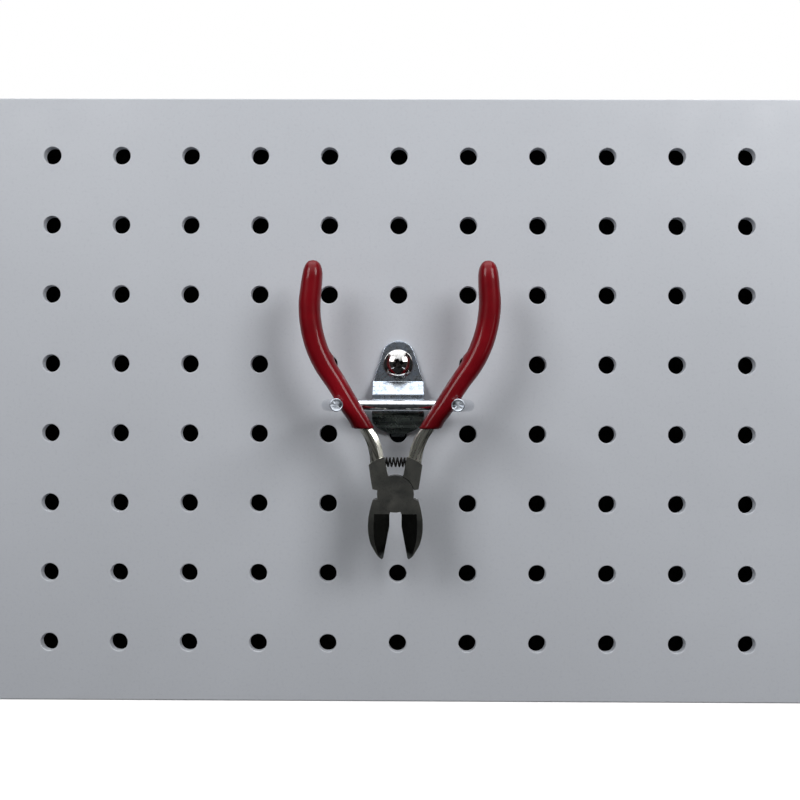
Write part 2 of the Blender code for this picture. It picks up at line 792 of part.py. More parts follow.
def make_lever(name, side, disc_in_front, cutter_frame):
    """side 1 has its arm on the right. The lapped disc is half the head's thickness."""
    head = add_object(name, mirrored(prism_mesh(name, lever_outline(), HEAD_THICKNESS), side), STEEL)
    tang_mesh = mirrored(loft_mesh(name + "_tang", tang_rings(side)), side)
    tang = add_object(name + "_tang", tang_mesh)
    boolean(head, "UNION", tang)

    away = 1 if disc_in_front else -1
    lap_radius = DISC_RADIUS + GAP
    lap = rod(name + "_lap", lap_radius, (0, -away * GAP / 2, 0), (0, away * 0.005, 0), 40)
    seat_start = (side * 0.0010, 0, SPRING_HEIGHT)
    seat_end = (side * SEAT_FLOOR_X, 0, SPRING_HEIGHT)
    seat = rod(name + "_seat", SEAT_RADIUS, seat_start, seat_end, 12)
    cutters = [lap, seat, *jaw_cutters(name, side)]

    bore = RIVET_RADIUS + GAP
    if disc_in_front:
        bore_start = (0, -HEAD_THICKNESS / 2 + RIVET_FACE_COVER, 0)
        cutters.append(rod(name + "_bore", bore, bore_start, (0, 0.005, 0), 16))
    else:
        cutters.append(rod(name + "_bore", bore, (0, -0.005, 0), (0, 0.005, 0), 16))
        sink = HEAD_THICKNESS / 2 - RIVET_HEAD_DEPTH - GAP
        wide = RIVET_HEAD_RADIUS + GAP
        cutters.append(rod(name + "_sink", wide, (0, sink, 0), (0, 0.005, 0), 20))
    cut(head, *cutters)
    for piece in (head, tang, *cutters):
        piece.parent = cutter_frame


def make_rivet(cutter_frame):
    """A plain pin from inside the front disc to a flat head set into the rear one."""
    tip = HEAD_THICKNESS / 2 - RIVET_FACE_COVER - GAP
    head_top = HEAD_THICKNESS / 2 - 0.0001
    profile = (
        (0, tip),
        (RIVET_RADIUS, tip),
        (RIVET_RADIUS, -head_top + RIVET_HEAD_DEPTH),
        (RIVET_HEAD_RADIUS, -head_top + RIVET_HEAD_DEPTH),
        (RIVET_HEAD_RADIUS, -head_top),
        (0, -head_top),
    )
    rivet = turned("pivot_rivet", profile, 16, STEEL)
    rivet.matrix_local = Matrix.Rotation(math.pi / 2, 4, "X")
    rivet.parent = cutter_frame


def make_spring(cutter_frame):
    """A compression coil along X between the arms, its ends inside the two seats."""
    count = SPRING_TURNS * SPRING_STEPS
    points = []
    for index in range(count + 1):
        turn = 2 * math.pi * index / SPRING_STEPS
        x = SPRING_HALF_LENGTH * (2 * index / count - 1)
        y = -SPRING_RADIUS * math.sin(turn)
        points.append((x, y, SPRING_HEIGHT + SPRING_RADIUS * math.cos(turn)))
    coil = tube_mesh("return_spring", points, SPRING_WIRE_RADIUS, 1)
    spring = add_object("return_spring", coil, SPRING_STEEL)
    spring.parent = cutter_frame


def make_grip(name, side, cutter_frame):
    """A dipped sleeve closed at the tip, with a pocket for the handle's steel."""
    spine = smooth_spine(leaning(GRIP_SPINE, side), 2)
    mouth_x, mouth_z, mouth_half, mouth_deep = spine[0]
    outer = [ring((mouth_x, mouth_z), (1, 0), mouth_half * MOUTH_SLANT, mouth_deep, GRIP_SIDES, 0.85)]
    for (x, z, half, deep), across in list(zip(spine, spine_normals(spine)))[1:]:
        outer.append(ring((x, z), across, half, deep, GRIP_SIDES, 0.85))
    rings = list(reversed(pocket_rings(mouth_z, side))) + outer
    grip = add_object(name, mirrored(loft_mesh(name, rings), side), RED)
    grip.parent = cutter_frame


def make_side_cutters():
    cutter_frame = bpy.data.objects.new("side_cutter_pivot", None)
    PARTS.objects.link(cutter_frame)
    cutter_frame.location = (PIVOT_X, FACE - CUTTER_OUT, GRID_Z + PIVOT_Z)
    make_lever("front_lever", -1, True, cutter_frame)
    make_lever("rear_lever", 1, False, cutter_frame)
    make_rivet(cutter_frame)
    make_spring(cutter_frame)
    make_grip("left_grip", -1, cutter_frame)
    make_grip("right_grip", 1, cutter_frame)


def shade_round_pieces():
    for obj in PARTS.objects:
        if obj.type == "MESH":
            obj.data.shade_smooth()
            obj.data.set_sharp_from_angle(angle=math.radians(35))


clear_scene()
PARTS = new_collection("pegboard_tool_wall", False)
CUTTERS = new_collection("cutters", True)
WHITE = make_material("white_board", (0.80, 0.81, 0.83), 0.55, 0)
WOOD = make_material("pine_rail", (0.62, 0.44, 0.26), 0.65, 0)
DARK_SHEET = make_material("dark_fibreboard", (0.02, 0.02, 0.022), 0.85, 0)
ZINC = make_material("zinc_plate", (0.60, 0.62, 0.65), 0.32, 1)
BRIGHT_ZINC = make_material("bright_zinc", (0.72, 0.73, 0.75), 0.18, 1)
NYLON = make_material("nylon", (0.78, 0.76, 0.70), 0.50, 0)
STEEL = make_material("tool_steel", (0.30, 0.29, 0.28), 0.35, 1)
SPRING_STEEL = make_material("spring_steel", (0.10, 0.10, 0.10), 0.40, 1)
RED = make_material("red_vinyl", (0.30, 0.01, 0.02), 0.18, 0)

make_panel()
top_rail = make_frame()
make_hanger("left_hanger", -HANGER_X, top_rail, 1)
make_hanger("right_hanger", HANGER_X, top_rail, 3)
make_bracket()
make_wire()
make_hook_screw()
make_side_cutters()
shade_round_pieces()
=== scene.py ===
import json
import math
import random

import bmesh
import bpy
from mathutils import Matrix, Quaternion, Vector, noise


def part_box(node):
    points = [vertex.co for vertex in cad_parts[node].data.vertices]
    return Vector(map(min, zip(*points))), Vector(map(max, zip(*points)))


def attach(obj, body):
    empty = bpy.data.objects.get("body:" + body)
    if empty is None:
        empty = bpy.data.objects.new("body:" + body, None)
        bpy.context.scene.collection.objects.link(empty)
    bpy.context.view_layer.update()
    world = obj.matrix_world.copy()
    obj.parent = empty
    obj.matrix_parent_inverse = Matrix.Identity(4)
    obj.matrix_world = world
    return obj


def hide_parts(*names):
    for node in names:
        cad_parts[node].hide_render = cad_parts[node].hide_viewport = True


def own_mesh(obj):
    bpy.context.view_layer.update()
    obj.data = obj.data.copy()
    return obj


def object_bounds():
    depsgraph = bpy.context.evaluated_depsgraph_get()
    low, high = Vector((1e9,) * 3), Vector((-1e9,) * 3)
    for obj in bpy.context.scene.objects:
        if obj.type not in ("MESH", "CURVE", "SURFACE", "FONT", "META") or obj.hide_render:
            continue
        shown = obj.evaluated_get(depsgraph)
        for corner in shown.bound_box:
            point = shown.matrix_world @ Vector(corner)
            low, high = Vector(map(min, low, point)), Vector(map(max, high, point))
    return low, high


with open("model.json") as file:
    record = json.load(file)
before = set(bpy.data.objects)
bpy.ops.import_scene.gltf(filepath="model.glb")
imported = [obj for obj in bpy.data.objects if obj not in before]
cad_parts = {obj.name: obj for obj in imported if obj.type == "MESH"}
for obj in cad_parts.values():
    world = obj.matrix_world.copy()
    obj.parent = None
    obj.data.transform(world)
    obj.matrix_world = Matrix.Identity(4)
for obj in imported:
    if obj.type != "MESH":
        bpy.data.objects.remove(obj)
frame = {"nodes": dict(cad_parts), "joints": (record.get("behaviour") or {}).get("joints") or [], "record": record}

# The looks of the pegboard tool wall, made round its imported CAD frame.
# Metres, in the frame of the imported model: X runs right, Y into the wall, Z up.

CAD_LOW, CAD_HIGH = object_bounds()
NUDGE = 0.000001

# Panel, its holes and the rims that drilling and paint leave on them.
PITCH = 0.0254
COLUMNS = 11
ROWS = 8
HOLE_RADIUS = 0.003175
HOLE_RIM = 0.00030
HOLE_SIDES = 48
PANEL_EDGE = 0.0005

# Hook bracket: heights above the grid centre, distances out from the panel's face.
GAP = 0.0003
SHEET = 0.0012
SHEET_EDGE = 0.00042
TAB_TOP = 0.0214
TAB_FOOT = 0.0062
BRACKET_HALF_WIDTH = 0.0094
# The tab's low gable, down to its foot: (height, half width).
TAB_OUTLINE = (
    (TAB_TOP, 0.0007),
    (0.0208, 0.0022),
    (0.0201, 0.0036),
    (0.0193, 0.0047),
    (0.0184, 0.0053),
    (0.0172, 0.0058),
    (TAB_FOOT, BRACKET_HALF_WIDTH),
)
CREST_TOP = 0.0017
CREST_FOOT = -0.0050
CREST_OUT = 0.0054
SHIELD_SHOULDER = -0.0064
SHIELD_FOOT = -0.0124
TONGUE_HALF_WIDTH = 0.0025
TONGUE_END = -0.0195
TONGUE_BEHIND = 0.0014
BRACKET_HOLE_RADIUS = 0.0022

# Prong wire.
WIRE_BEND_RADIUS = 0.0042
WIRE_HALF_SPAN = 0.0248
WIRE_TOE_IN = math.radians(9.8)
PRONG_REACH = 0.045

# Hook screw and its plug.
SCREW_HEAD_RADIUS = 0.00535
SCREW_DOME_RADIUS = 0.0052
SCREW_RIM = 0.0005
SCREW_HEAD_HEIGHT = 0.0025
SCREW_SHANK_RADIUS = 0.0018
SCREW_LENGTH = 0.0105
SCREW_TURN = math.radians(20)
THREAD_PITCH = 0.0011
THREAD_START = -0.0022
THREAD_END = 0.0030 - SCREW_LENGTH
THREAD_DEPTH = 0.82
RECESS_SPAN = 0.0042
RECESS_WIDTH = 0.0015
RECESS_DEPTH = 0.0019
RECESS_REACH = 0.0024
RECESS_FLOOR = 0.0005
SCREW_CLEARANCE = 0.0001
PLUG_RADIUS = 0.0027
PLUG_SWELL = 0.0036
PLUG_LENGTH = 0.0095

# Side cutters, in their own frame: origin at the pivot, Z up the handles.
# Both handles lean to the right as they rise, from this height.
HANDLE_LEAN = 0.021
LEAN_START = 0.0075
HEAD_THICKNESS = 0.0062
TANG_THICKNESS = 0.0046
LEVER_EDGE = 0.00016
DISC_RADIUS = 0.0063
SEAM = 0.00006
SEAM_SHIFT = 0.00007
RIVET_RADIUS = 0.0020
RIVET_HEAD_RADIUS = 0.0029
RIVET_HEAD_DEPTH = 0.0010
RIVET_FACE_COVER = 0.0010
EDGE_ANGLE = math.radians(10.4)
JAW_LENGTH = 0.0227
JAW_TAPER_START = 0.0085
JAW_TAPER = math.radians(5)
FRONT_EDGE_LEVEL = 0.30
BACK_EDGE_LEVEL = 0.60
BACK_BEVEL_WIDTH = 0.0022
SPRING_HEIGHT = 0.0108
SPRING_RADIUS = 0.00145
SPRING_WIRE_RADIUS = 0.00030
SPRING_TURNS = 7
SPRING_HALF_LENGTH = 0.0044
SEAT_RADIUS = 0.00235
SEAT_FLOOR_X = 0.0050

# Centre line of a handle: (x, z, half width), from the head to the tip.
TANG_SPINE = (
    (0.0064, 0.0095, 0.0023),
    (0.0069, 0.0140, 0.0023),
    (0.0083, 0.0184, 0.0022),
    (0.0108, 0.0224, 0.0019),
    (0.0163, 0.0306, 0.0019),
    (0.0211, 0.0380, 0.0018),
)
BEVEL_TOP = -0.0067
# Ground faces of a jaw: (distance below the pivot, outer edge of the front bevel).
FRONT_BEVEL = (
    (0.0068, 0.0073),
    (0.0120, 0.00745),
    (0.0165, 0.0071),
    (0.0205, 0.0060),
    (0.0240, 0.0051),
)
# Centre line of a grip: (x, z, half width, half depth), from mouth to tip.
GRIP_SPINE = (
    (0.0114, 0.0223, 0.0030, 0.0037),
    (0.0138, 0.0264, 0.0032, 0.0040),
    (0.0166, 0.0306, 0.0034, 0.0042),
    (0.0212, 0.0380, 0.0035, 0.0043),
    (0.0256, 0.0446, 0.0037, 0.0044),
    (0.0286, 0.0510, 0.0038, 0.0044),
    (0.0305, 0.0580, 0.0038, 0.0044),
    (0.0312, 0.0650, 0.0038, 0.0044),
    (0.0308, 0.0710, 0.0037, 0.0043),
    (0.0304, 0.0756, 0.0035, 0.0041),
    (0.0303, 0.0784, 0.0029, 0.0034),
    (0.0303, 0.0800, 0.0018, 0.0021),
    (0.0303, 0.0806, 0.0003, 0.0003),
)
GRIP_SIDES = 40
GRIP_BOXINESS = 0.88
MOUTH_SLANT = 1.18
MOUTH_LENGTH = 0.004
GRIP_WAVE = 0.012
NUB_HEIGHT = 0.0455
NUB_RISE = 0.00045
NUB_LENGTH = 0.0011

# How faces of the levers and the screw are told apart: distance from a flat face, facing along Y,
# and for the handle's steel its lowest height and its half depth.
ON_FACE = 0.00012
FACING_FLAT = 0.98
FACING_GROUND = 0.35
TANG_FOOT = 0.0093
TANG_REACH = TANG_THICKNESS / 2 + 0.0001

# Studio: the ceiling's brightness along the height of a direction, from straight down to up.
CEILING_STOPS = (
    (0.0, 0.004),
    (0.20, 0.03),
    (0.50, 0.045),
    (0.62, 0.045),
    (0.71, 0.5),
    (0.78, 1.4),
    (1.0, 2.6),
)
AMBIENT_SHARE = 0.25
# Lights: (name, place from the middle of the panel's face, width and height, watts).
LIGHTS = (
    ("overhead", (0, -0.16, 0.55), (0.70, 0.20), 0.5),
    ("left_side", (-0.40, -0.50, 0.36), (0.30, 0.30), 1.85),
    ("right_side", (0.42, -0.50, 0.36), (0.30, 0.30), 2.45),
    ("right_strip", (0.62, -0.46, -0.06), (0.18, 0.20), 0.12),
    ("behind", (0.2, 0.7155, 0.45), (0.60, 0.60), 5.0),
)
# Camera, from the middle of the panel's face.
CAMERA_LENS = 41.80
CAMERA_PLACE = (0.00240, -0.339, -0.00328)
CAMERA_AIM = (0.00065, 0, -0.00026)
CAMERA_ROLL = math.radians(0.2)
FLOOR_HALF = 3.0
FLOOR_GAP = 0.0002

# Places that follow from the frame.
PANEL_LOW, PANEL_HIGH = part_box("peg_panel")
FACE = PANEL_LOW.y
PANEL_BACK = PANEL_HIGH.y
PANEL_THICKNESS = PANEL_BACK - FACE
GRID_Z = (PANEL_LOW.z + PANEL_HIGH.z) / 2
SCREW_Z = GRID_Z + PITCH / 2
WIRE_LOW, WIRE_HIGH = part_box("prong_wire")
FACE_MIDDLE = Vector((0, FACE, GRID_Z))
WIRE_Z = (WIRE_LOW.z + WIRE_HIGH.z) / 2
WIRE_RADIUS = (WIRE_HIGH.z - WIRE_LOW.z) / 2
HINGE = next(joint for joint in frame["joints"] if joint["name"] == "front_lever_hinge")
PIVOT = Vector(HINGE["pos_m"])
CUTTER_FRAME = Matrix.Translation(PIVOT)
BODIES = frame["record"]["behaviour"]["bodies"]
BODY_OF = {node: body for body, nodes in BODIES.items() for node in nodes}


# --- mesh tools


def mesh_of(bm, name="shape"):
    bmesh.ops.recalc_face_normals(bm, faces=bm.faces)
    mesh = bpy.data.meshes.new(name)
    bm.to_mesh(mesh)
    bm.free()
    return mesh


def placed(name, data):
    """A new object in the scene that holds a mesh, a light or the camera."""
    obj = bpy.data.objects.new(name, data)
    bpy.context.scene.collection.objects.link(obj)
    return obj


def evaluated(obj, *others):
    """The object's mesh after its modifiers. It and the others are removed."""
    graph = bpy.context.evaluated_depsgraph_get()
    mesh = bpy.data.meshes.new_from_object(obj.evaluated_get(graph))
    for used in (obj, *others):
        bpy.data.objects.remove(used, do_unlink=True)
    return mesh


def carved(mesh, unions=(), cutters=()):
    """The mesh joined to the unions, and then cut by the cutters."""
    work = placed("helper", mesh)
    others = []
    for operation, shapes in (("UNION", unions), ("DIFFERENCE", cutters)):
        for shape in shapes:
            other = placed("helper", shape)
            modifier = work.modifiers.new("carve", "BOOLEAN")
            modifier.operation = operation
            modifier.object = other
            others.append(other)
    return evaluated(work, *others)


def tidied(mesh, flat_angle=0.6):
    """The mesh with its doubles welded and its flat faces merged."""
    bm = bmesh.new()
    bm.from_mesh(mesh)
    bmesh.ops.remove_doubles(bm, verts=bm.verts, dist=NUDGE)
    bmesh.ops.dissolve_degenerate(bm, edges=bm.edges, dist=NUDGE)
    limit = math.radians(flat_angle)
    bmesh.ops.dissolve_limit(bm, angle_limit=limit, verts=bm.verts, edges=bm.edges)
    return mesh_of(bm)


def softened(mesh, width, segments=2, angle=32):
    """The mesh with its sharp edges rounded over."""
    work = placed("helper", mesh)
    bevel = work.modifiers.new("soften", "BEVEL")
    bevel.width = width
    bevel.segments = segments
    bevel.limit_method = "ANGLE"
    bevel.angle_limit = math.radians(angle)
    bevel.miter_outer = "MITER_ARC"
    return evaluated(work)


def box_mesh(low, high):
    low, high = Vector(low), Vector(high)
    place = Matrix.Translation((low + high) / 2) @ Matrix.Diagonal((*(high - low), 1))
    bm = bmesh.new()
    bmesh.ops.create_cube(bm, size=1, matrix=place)
    return mesh_of(bm)


def turns_round(sides):
    """The angles of evenly spaced points round a circle."""
    return [2 * math.pi * index / sides for index in range(sides)]


def bridge(bm, first, second):
    """Quads between two loops of as many vertices."""
    for index in range(len(first)):
        following = (index + 1) % len(first)
        bm.faces.new((first[index], first[following], second[following], second[index]))


def rod_mesh(radius, start, end, sides):
    start, end = Vector(start), Vector(end)
    run = end - start
    turn = run.to_track_quat("Z", "Y").to_matrix().to_4x4()
    bm = bmesh.new()
    bmesh.ops.create_cone(
        bm,
        cap_ends=True,
        segments=sides,
        radius1=radius,
        radius2=radius,
        depth=run.length,
        matrix=Matrix.Translation((start + end) / 2) @ turn,
    )
    return mesh_of(bm)


def prism_mesh(outline, thickness):
    """A flat outline in X and Z, thickened evenly to both sides along Y."""
    bm = bmesh.new()
    face = bm.faces.new([bm.verts.new((x, -thickness / 2, z)) for x, z in outline])
    made = bmesh.ops.extrude_face_region(bm, geom=[face])
    moved = [item for item in made["geom"] if isinstance(item, bmesh.types.BMVert)]
    bmesh.ops.translate(bm, verts=moved, vec=(0, thickness, 0))
    return mesh_of(bm)


def turned_mesh(profile, sides):
    """A profile of (radius, height) turned about Z. Without a point on the axis it is a loop."""
    bm = bmesh.new()
    rings = []
    for radius, height in profile:
        turns = turns_round(sides) if radius > NUDGE else [0]
        rings.append([bm.verts.new((radius * math.cos(t), radius * math.sin(t), height)) for t in turns])
    closed = profile[0][0] > NUDGE and profile[-1][0] > NUDGE
    pairs = list(zip(rings, rings[1:]))
    if closed:
        pairs.append((rings[-1], rings[0]))
    for first, second in pairs:
        for index in range(sides):
            following = (index + 1) % sides
            if len(first) == 1:
                bm.faces.new((first[0], second[index], second[following]))
            elif len(second) == 1:
                bm.faces.new((first[index], second[0], first[following]))
            else:
                bm.faces.new((first[index], second[index], second[following], first[following]))
    return mesh_of(bm)


def lofted_mesh(rings):
    """A closed skin through rings of points."""
    bm = bmesh.new()
    loops = [[bm.verts.new(point) for point in points] for points in rings]
    for first, second in zip(loops, loops[1:]):
        bridge(bm, first, second)
    bm.faces.new(loops[0])
    bm.faces.new(loops[-1])
    return mesh_of(bm)


def swept_rings(points, radii, sides):
    """Round rings along a path, each turned from the one before with no twist."""
    points = [Vector(point) for point in points]
    rings = []
    side = None
    for index, point in enumerate(points):
        along = points[min(index + 1, len(points) - 1)] - points[max(index - 1, 0)]
        along.normalize()
        if side is None:
            side = along.orthogonal()
        side = (side - along * side.dot(along)).normalized()
        up = along.cross(side)
        reach = radii[index]
        rings.append([point + (side * math.cos(t) + up * math.sin(t)) * reach for t in turns_round(sides)])
    return rings


def arc(centre, radius, start, end, count):
    """Points along an arc, angles in degrees from the first axis to the second."""
    step = (end - start) / (count - 1)
    turns = [math.radians(start + step * index) for index in range(count)]
    return [(centre[0] + radius * math.cos(t), centre[1] + radius * math.sin(t)) for t in turns]


def filleted(points, radii, steps=7):
    """A broken line with each inner corner rounded to its radius."""
    points = [Vector(point) for point in points]
    result = [points[0]]
    for before, corner, after, radius in zip(points, points[1:], points[2:], radii):
        back = (before - corner).normalized()
        ahead = (after - corner).normalized()
        half = back.angle(ahead) / 2
        reach = min(radius / math.tan(half), (before - corner).length / 2, (after - corner).length / 2)
        start, end = corner + back * reach, corner + ahead * reach
        for step in range(steps + 1):
            share = step / steps
            first = start.lerp(corner, share)
            result.append(first.lerp(corner.lerp(end, share), share))
    result.append(points[-1])
    return result


def smooth_spine(spine, steps):
    """The centre line with extra points between its own, on a Catmull-Rom curve."""
    ends = [Vector(point) for point in (spine[0], *spine, spine[-1])]
    points = []
    for before, start, end, after in zip(ends, ends[1:], ends[2:], ends[3:]):
        for step in range(steps):
            t = step / steps
            bend = (2 * before - 5 * start + 4 * end - after) * t**2
            twist = (3 * start - 3 * end + after - before) * t**3
            points.append((2 * start + (end - before) * t + bend + twist) / 2)
    points.append(ends[-1])
    return points


def spine_normals(spine):
    """The unit direction across a centre line at each of its points."""
    normals = []
    for index in range(len(spine)):
        before = spine[max(index - 1, 0)]
        after = spine[min(index + 1, len(spine) - 1)]
        along = Vector((after[0] - before[0], after[1] - before[1])).normalized()
        normals.append(Vector((along[1], -along[0])))
    return normals


def mirrored(mesh, side):
    """The mesh as drawn for side 1, or its mirror image in X for side -1."""
    if side < 0:
        mesh.transform(Matrix.Diagonal((-1, 1, 1, 1)))
        mesh.flip_normals()
    return mesh


def show(name, mesh, node, materials, smooth_angle=38):
    """A finished piece: it stands for its CAD node and moves with that node's body."""
    indices = [min(polygon.material_index, len(materials) - 1) for polygon in mesh.polygons]
    mesh.materials.clear()
    for material in materials:
        mesh.materials.append(material)
    mesh.polygons.foreach_set("material_index", indices)
    mesh.shade_smooth()
    mesh.set_sharp_from_angle(angle=math.radians(smooth_angle))
    work = placed("helper", mesh)
    weighted = work.modifiers.new("weighted", "WEIGHTED_NORMAL")
    weighted.keep_sharp = True
    mesh = evaluated(work)
    mesh.name = name
    obj = placed(name, mesh)
    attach(obj, BODY_OF[node])
    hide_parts(node)
    return obj


def cad_copy(node):
    """A copy of a CAD node's mesh with whole flat faces."""
    return tidied(frame["nodes"][node].data.copy())


# --- material tools


def add_node(tree, kind, inputs, **settings):
    """A new node with its settings, and its inputs linked or set."""
    made = tree.nodes.new(kind)
    for key, value in settings.items():
        setattr(made, key, value)
    for key, value in inputs.items():
        if isinstance(value, bpy.types.NodeSocket):
            tree.links.new(value, made.inputs[key])
        else:
            made.inputs[key].default_value = value
    return made


def add_ramp(tree, value, stops):
    """Colours along a value, each stop as (position, colour)."""
    ramp = add_node(tree, "ShaderNodeValToRGB", {"Fac": value})
    elements = ramp.color_ramp.elements
    while len(elements) < len(stops):
        elements.new(0.5)
    for element, (position, colour) in zip(elements, stops):
        element.position = position
        element.color = (*colour, 1)
    return ramp.outputs[0]


class Finish:
    """A procedural material: its textures read places on the piece, in metres."""

    def __init__(self, name, colour, roughness, metallic=0, **sockets):
        self.material = bpy.data.materials.new(name)
        self.material.use_nodes = True
        self.tree = self.material.node_tree
        self.shader = self.tree.nodes["Principled BSDF"]
        self.shader.inputs["Base Color"].default_value = (*colour, 1)
        self.shader.inputs["Roughness"].default_value = roughness
        self.shader.inputs["Metallic"].default_value = metallic
        for socket, value in sockets.items():
            self.shader.inputs[socket.replace("_", " ")].default_value = value
        self.height = None

    def node(self, kind, inputs, **settings):
        return add_node(self.tree, kind, inputs, **settings)

    def place(self, stretch=(1, 1, 1), turn=(0, 0, 0)):
        coordinates = self.node("ShaderNodeTexCoord", {}).outputs["Object"]
        turned = self.node("ShaderNodeMapping", {"Vector": coordinates, "Rotation": turn})
        inputs = {"Vector": turned.outputs[0], "Scale": stretch}
        return self.node("ShaderNodeMapping", inputs).outputs[0]

    def noise(self, scale, detail=3, stretch=(1, 1, 1), turn=(0, 0, 0), distortion=0):
        inputs = {
            "Vector": self.place(stretch, turn),
            "Scale": scale,
            "Detail": detail,
            "Roughness": 0.55,
            "Distortion": distortion,
        }
        return self.node("ShaderNodeTexNoise", inputs).outputs[0]

    def spread(self, value, low, high, start=0.3, end=0.7):
        """A value between low and high as the texture goes from start to end."""
        inputs = {"Value": value, "From Min": start, "From Max": end, "To Min": low, "To Max": high}
        return self.node("ShaderNodeMapRange", inputs).outputs[0]

    def zone(self, axis, start, end):
        """0 on the start's side and 1 past the end, along one axis of the model."""
        split = self.node("ShaderNodeSeparateXYZ", {"Vector": self.place()})
        return self.spread(split.outputs[axis], 0, 1, start, end)

    def colours(self, value, *stops):
        return add_ramp(self.tree, value, stops)

    def mix(self, share, first, second, blend="MIX"):
        inputs = {0: share, 6: first, 7: second}
        return self.node("ShaderNodeMix", inputs, data_type="RGBA", blend_type=blend).outputs[2]

    def paint(self, colour):
        self.tree.links.new(colour, self.shader.inputs["Base Color"])
        return self

    def gloss(self, roughness):
        self.tree.links.new(roughness, self.shader.inputs["Roughness"])
        return self

    def wear(self, texture, worn, sound, gloss):
        """Colour and roughness that follow one texture: two stops, and two roughnesses."""
        return self.paint(self.colours(texture, worn, sound)).gloss(self.spread(texture, *gloss))

    def relief(self, height, distance, strength):
        """Adds a bump of this height in metres on top of the ones before."""
        inputs = {"Height": height, "Distance": distance, "Strength": strength}
        if self.height is not None:
            inputs["Normal"] = self.height
        self.height = self.node("ShaderNodeBump", inputs).outputs[0]
        self.tree.links.new(self.height, self.shader.inputs["Normal"])
        return self


def tint(colour, factor):
    return tuple(channel * factor for channel in colour)


# --- finishes


def board_finish():
    """White paint on pressed board: faint clouds, fine orange peel and small specks."""
    colour = (0.66, 0.685, 0.735)
    finish = Finish("white_board_paint", colour, 0.5, Specular_IOR_Level=0.35)
    clouds = finish.noise(11, 4, distortion=0.4)
    tone = finish.colours(clouds, (0.3, tint(colour, 0.965)), (0.7, tint(colour, 1.03)))
    specks = finish.noise(900, 2)
    speck_tone = finish.colours(specks, (0.30, (0.93, 0.93, 0.94)), (0.46, (1, 1, 1)))
    finish.paint(finish.mix(0.6, tone, speck_tone, "MULTIPLY"))
    finish.gloss(finish.spread(finish.noise(70, 3), 0.40, 0.56))
    finish.relief(finish.noise(130, 3), 0.00010, 0.5)
    finish.relief(finish.noise(1100, 2), 0.00003, 0.6)
    return finish.material


def pine_finish(name, along):
    """Planed pine: stretched rings, pores and a few darker streaks along the grain."""
    finish = Finish(name, (0.60, 0.42, 0.24), 0.6)
    stretch = [1.0, 1.0, 1.0]
    stretch[along] = 0.05
    rings = finish.noise(240, 4, stretch, distortion=1.2)
    fibres = finish.noise(1500, 3, stretch)
    tone = finish.colours(
        rings, (0.30, (0.62, 0.45, 0.27)), (0.52, (0.54, 0.36, 0.19)), (0.66, (0.36, 0.21, 0.10))
    )
    fibre_tone = finish.colours(fibres, (0.35, (0.80, 0.76, 0.70)), (0.60, (1, 1, 1)))
    finish.paint(finish.mix(0.7, tone, fibre_tone, "MULTIPLY"))
    finish.gloss(finish.spread(fibres, 0.5, 0.72))
    finish.relief(rings, 0.00012, 0.5)
    finish.relief(fibres, 0.00006, 0.8)
    return finish.material


def shade_backing_finish():
    """Black hardboard whose near-black colour is painted shade for the dark space behind the holes: pressed fibres
    with a dull face.
    """
    finish = Finish("black_shade_backing", (0.014, 0.014, 0.016), 0.85, Specular_IOR_Level=0.15)
    fibres = finish.noise(420, 5, (1, 1, 0.5), distortion=2.0)
    finish.paint(finish.colours(fibres, (0.35, (0.008, 0.008, 0.009)), (0.65, (0.026, 0.025, 0.026))))
    finish.gloss(finish.spread(finish.noise(60, 3), 0.75, 0.92))
    finish.relief(fibres, 0.00010, 0.7)
    return finish.material


def sheet_zinc_finish(name, hook):
    """Zinc plate on stamped sheet: bluish mottling, rolled streaks and soft dents.

    On the hook it has painted shade below the crest, in dark horizontal bands, and painted shade, near black,
    behind the panel's face.
    """
    finish = Finish(name, (0.50, 0.53, 0.58), 0.22, 1)
    patches = finish.noise(420, 5, distortion=0.8)
    tone = finish.colours(
        patches, (0.32, (0.33, 0.39, 0.49)), (0.50, (0.54, 0.60, 0.68)), (0.68, (0.76, 0.81, 0.86))
    )
    grime = finish.colours(finish.noise(1400, 3), (0.34, (0.45, 0.46, 0.50)), (0.50, (1, 1, 1)))
    plated = finish.mix(0.6, tone, grime, "MULTIPLY")
    if hook:
        # Painted shade below the crest: dark horizontal bands stand in for the shade and dark reflections on the
        # shield that faces down.
        shade_bands = finish.noise(700, 2, (0.05, 0.05, 1))
        surface_layer = finish.colours(shade_bands, (0.38, (0.05, 0.06, 0.06)), (0.60, (0.40, 0.45, 0.44)))
        shaded_below_crest = finish.zone(2, GRID_Z + CREST_FOOT + 0.0012, GRID_Z + CREST_FOOT)
        plated = finish.mix(shaded_below_crest, plated, surface_layer)
        # Painted shade: every part of the hook behind the panel's face is coloured near black, as if unlit.
        behind = finish.zone(1, FACE, FACE + 0.0012)
        plated = finish.mix(behind, plated, (0.012, 0.013, 0.015, 1))
    finish.paint(plated)
    finish.gloss(finish.spread(patches, 0.36, 0.22))
    finish.relief(finish.noise(420, 2, (0.06, 0.06, 1)), 0.00007, 0.8)
    finish.relief(finish.noise(900, 3), 0.00002, 0.6)
    return finish.material


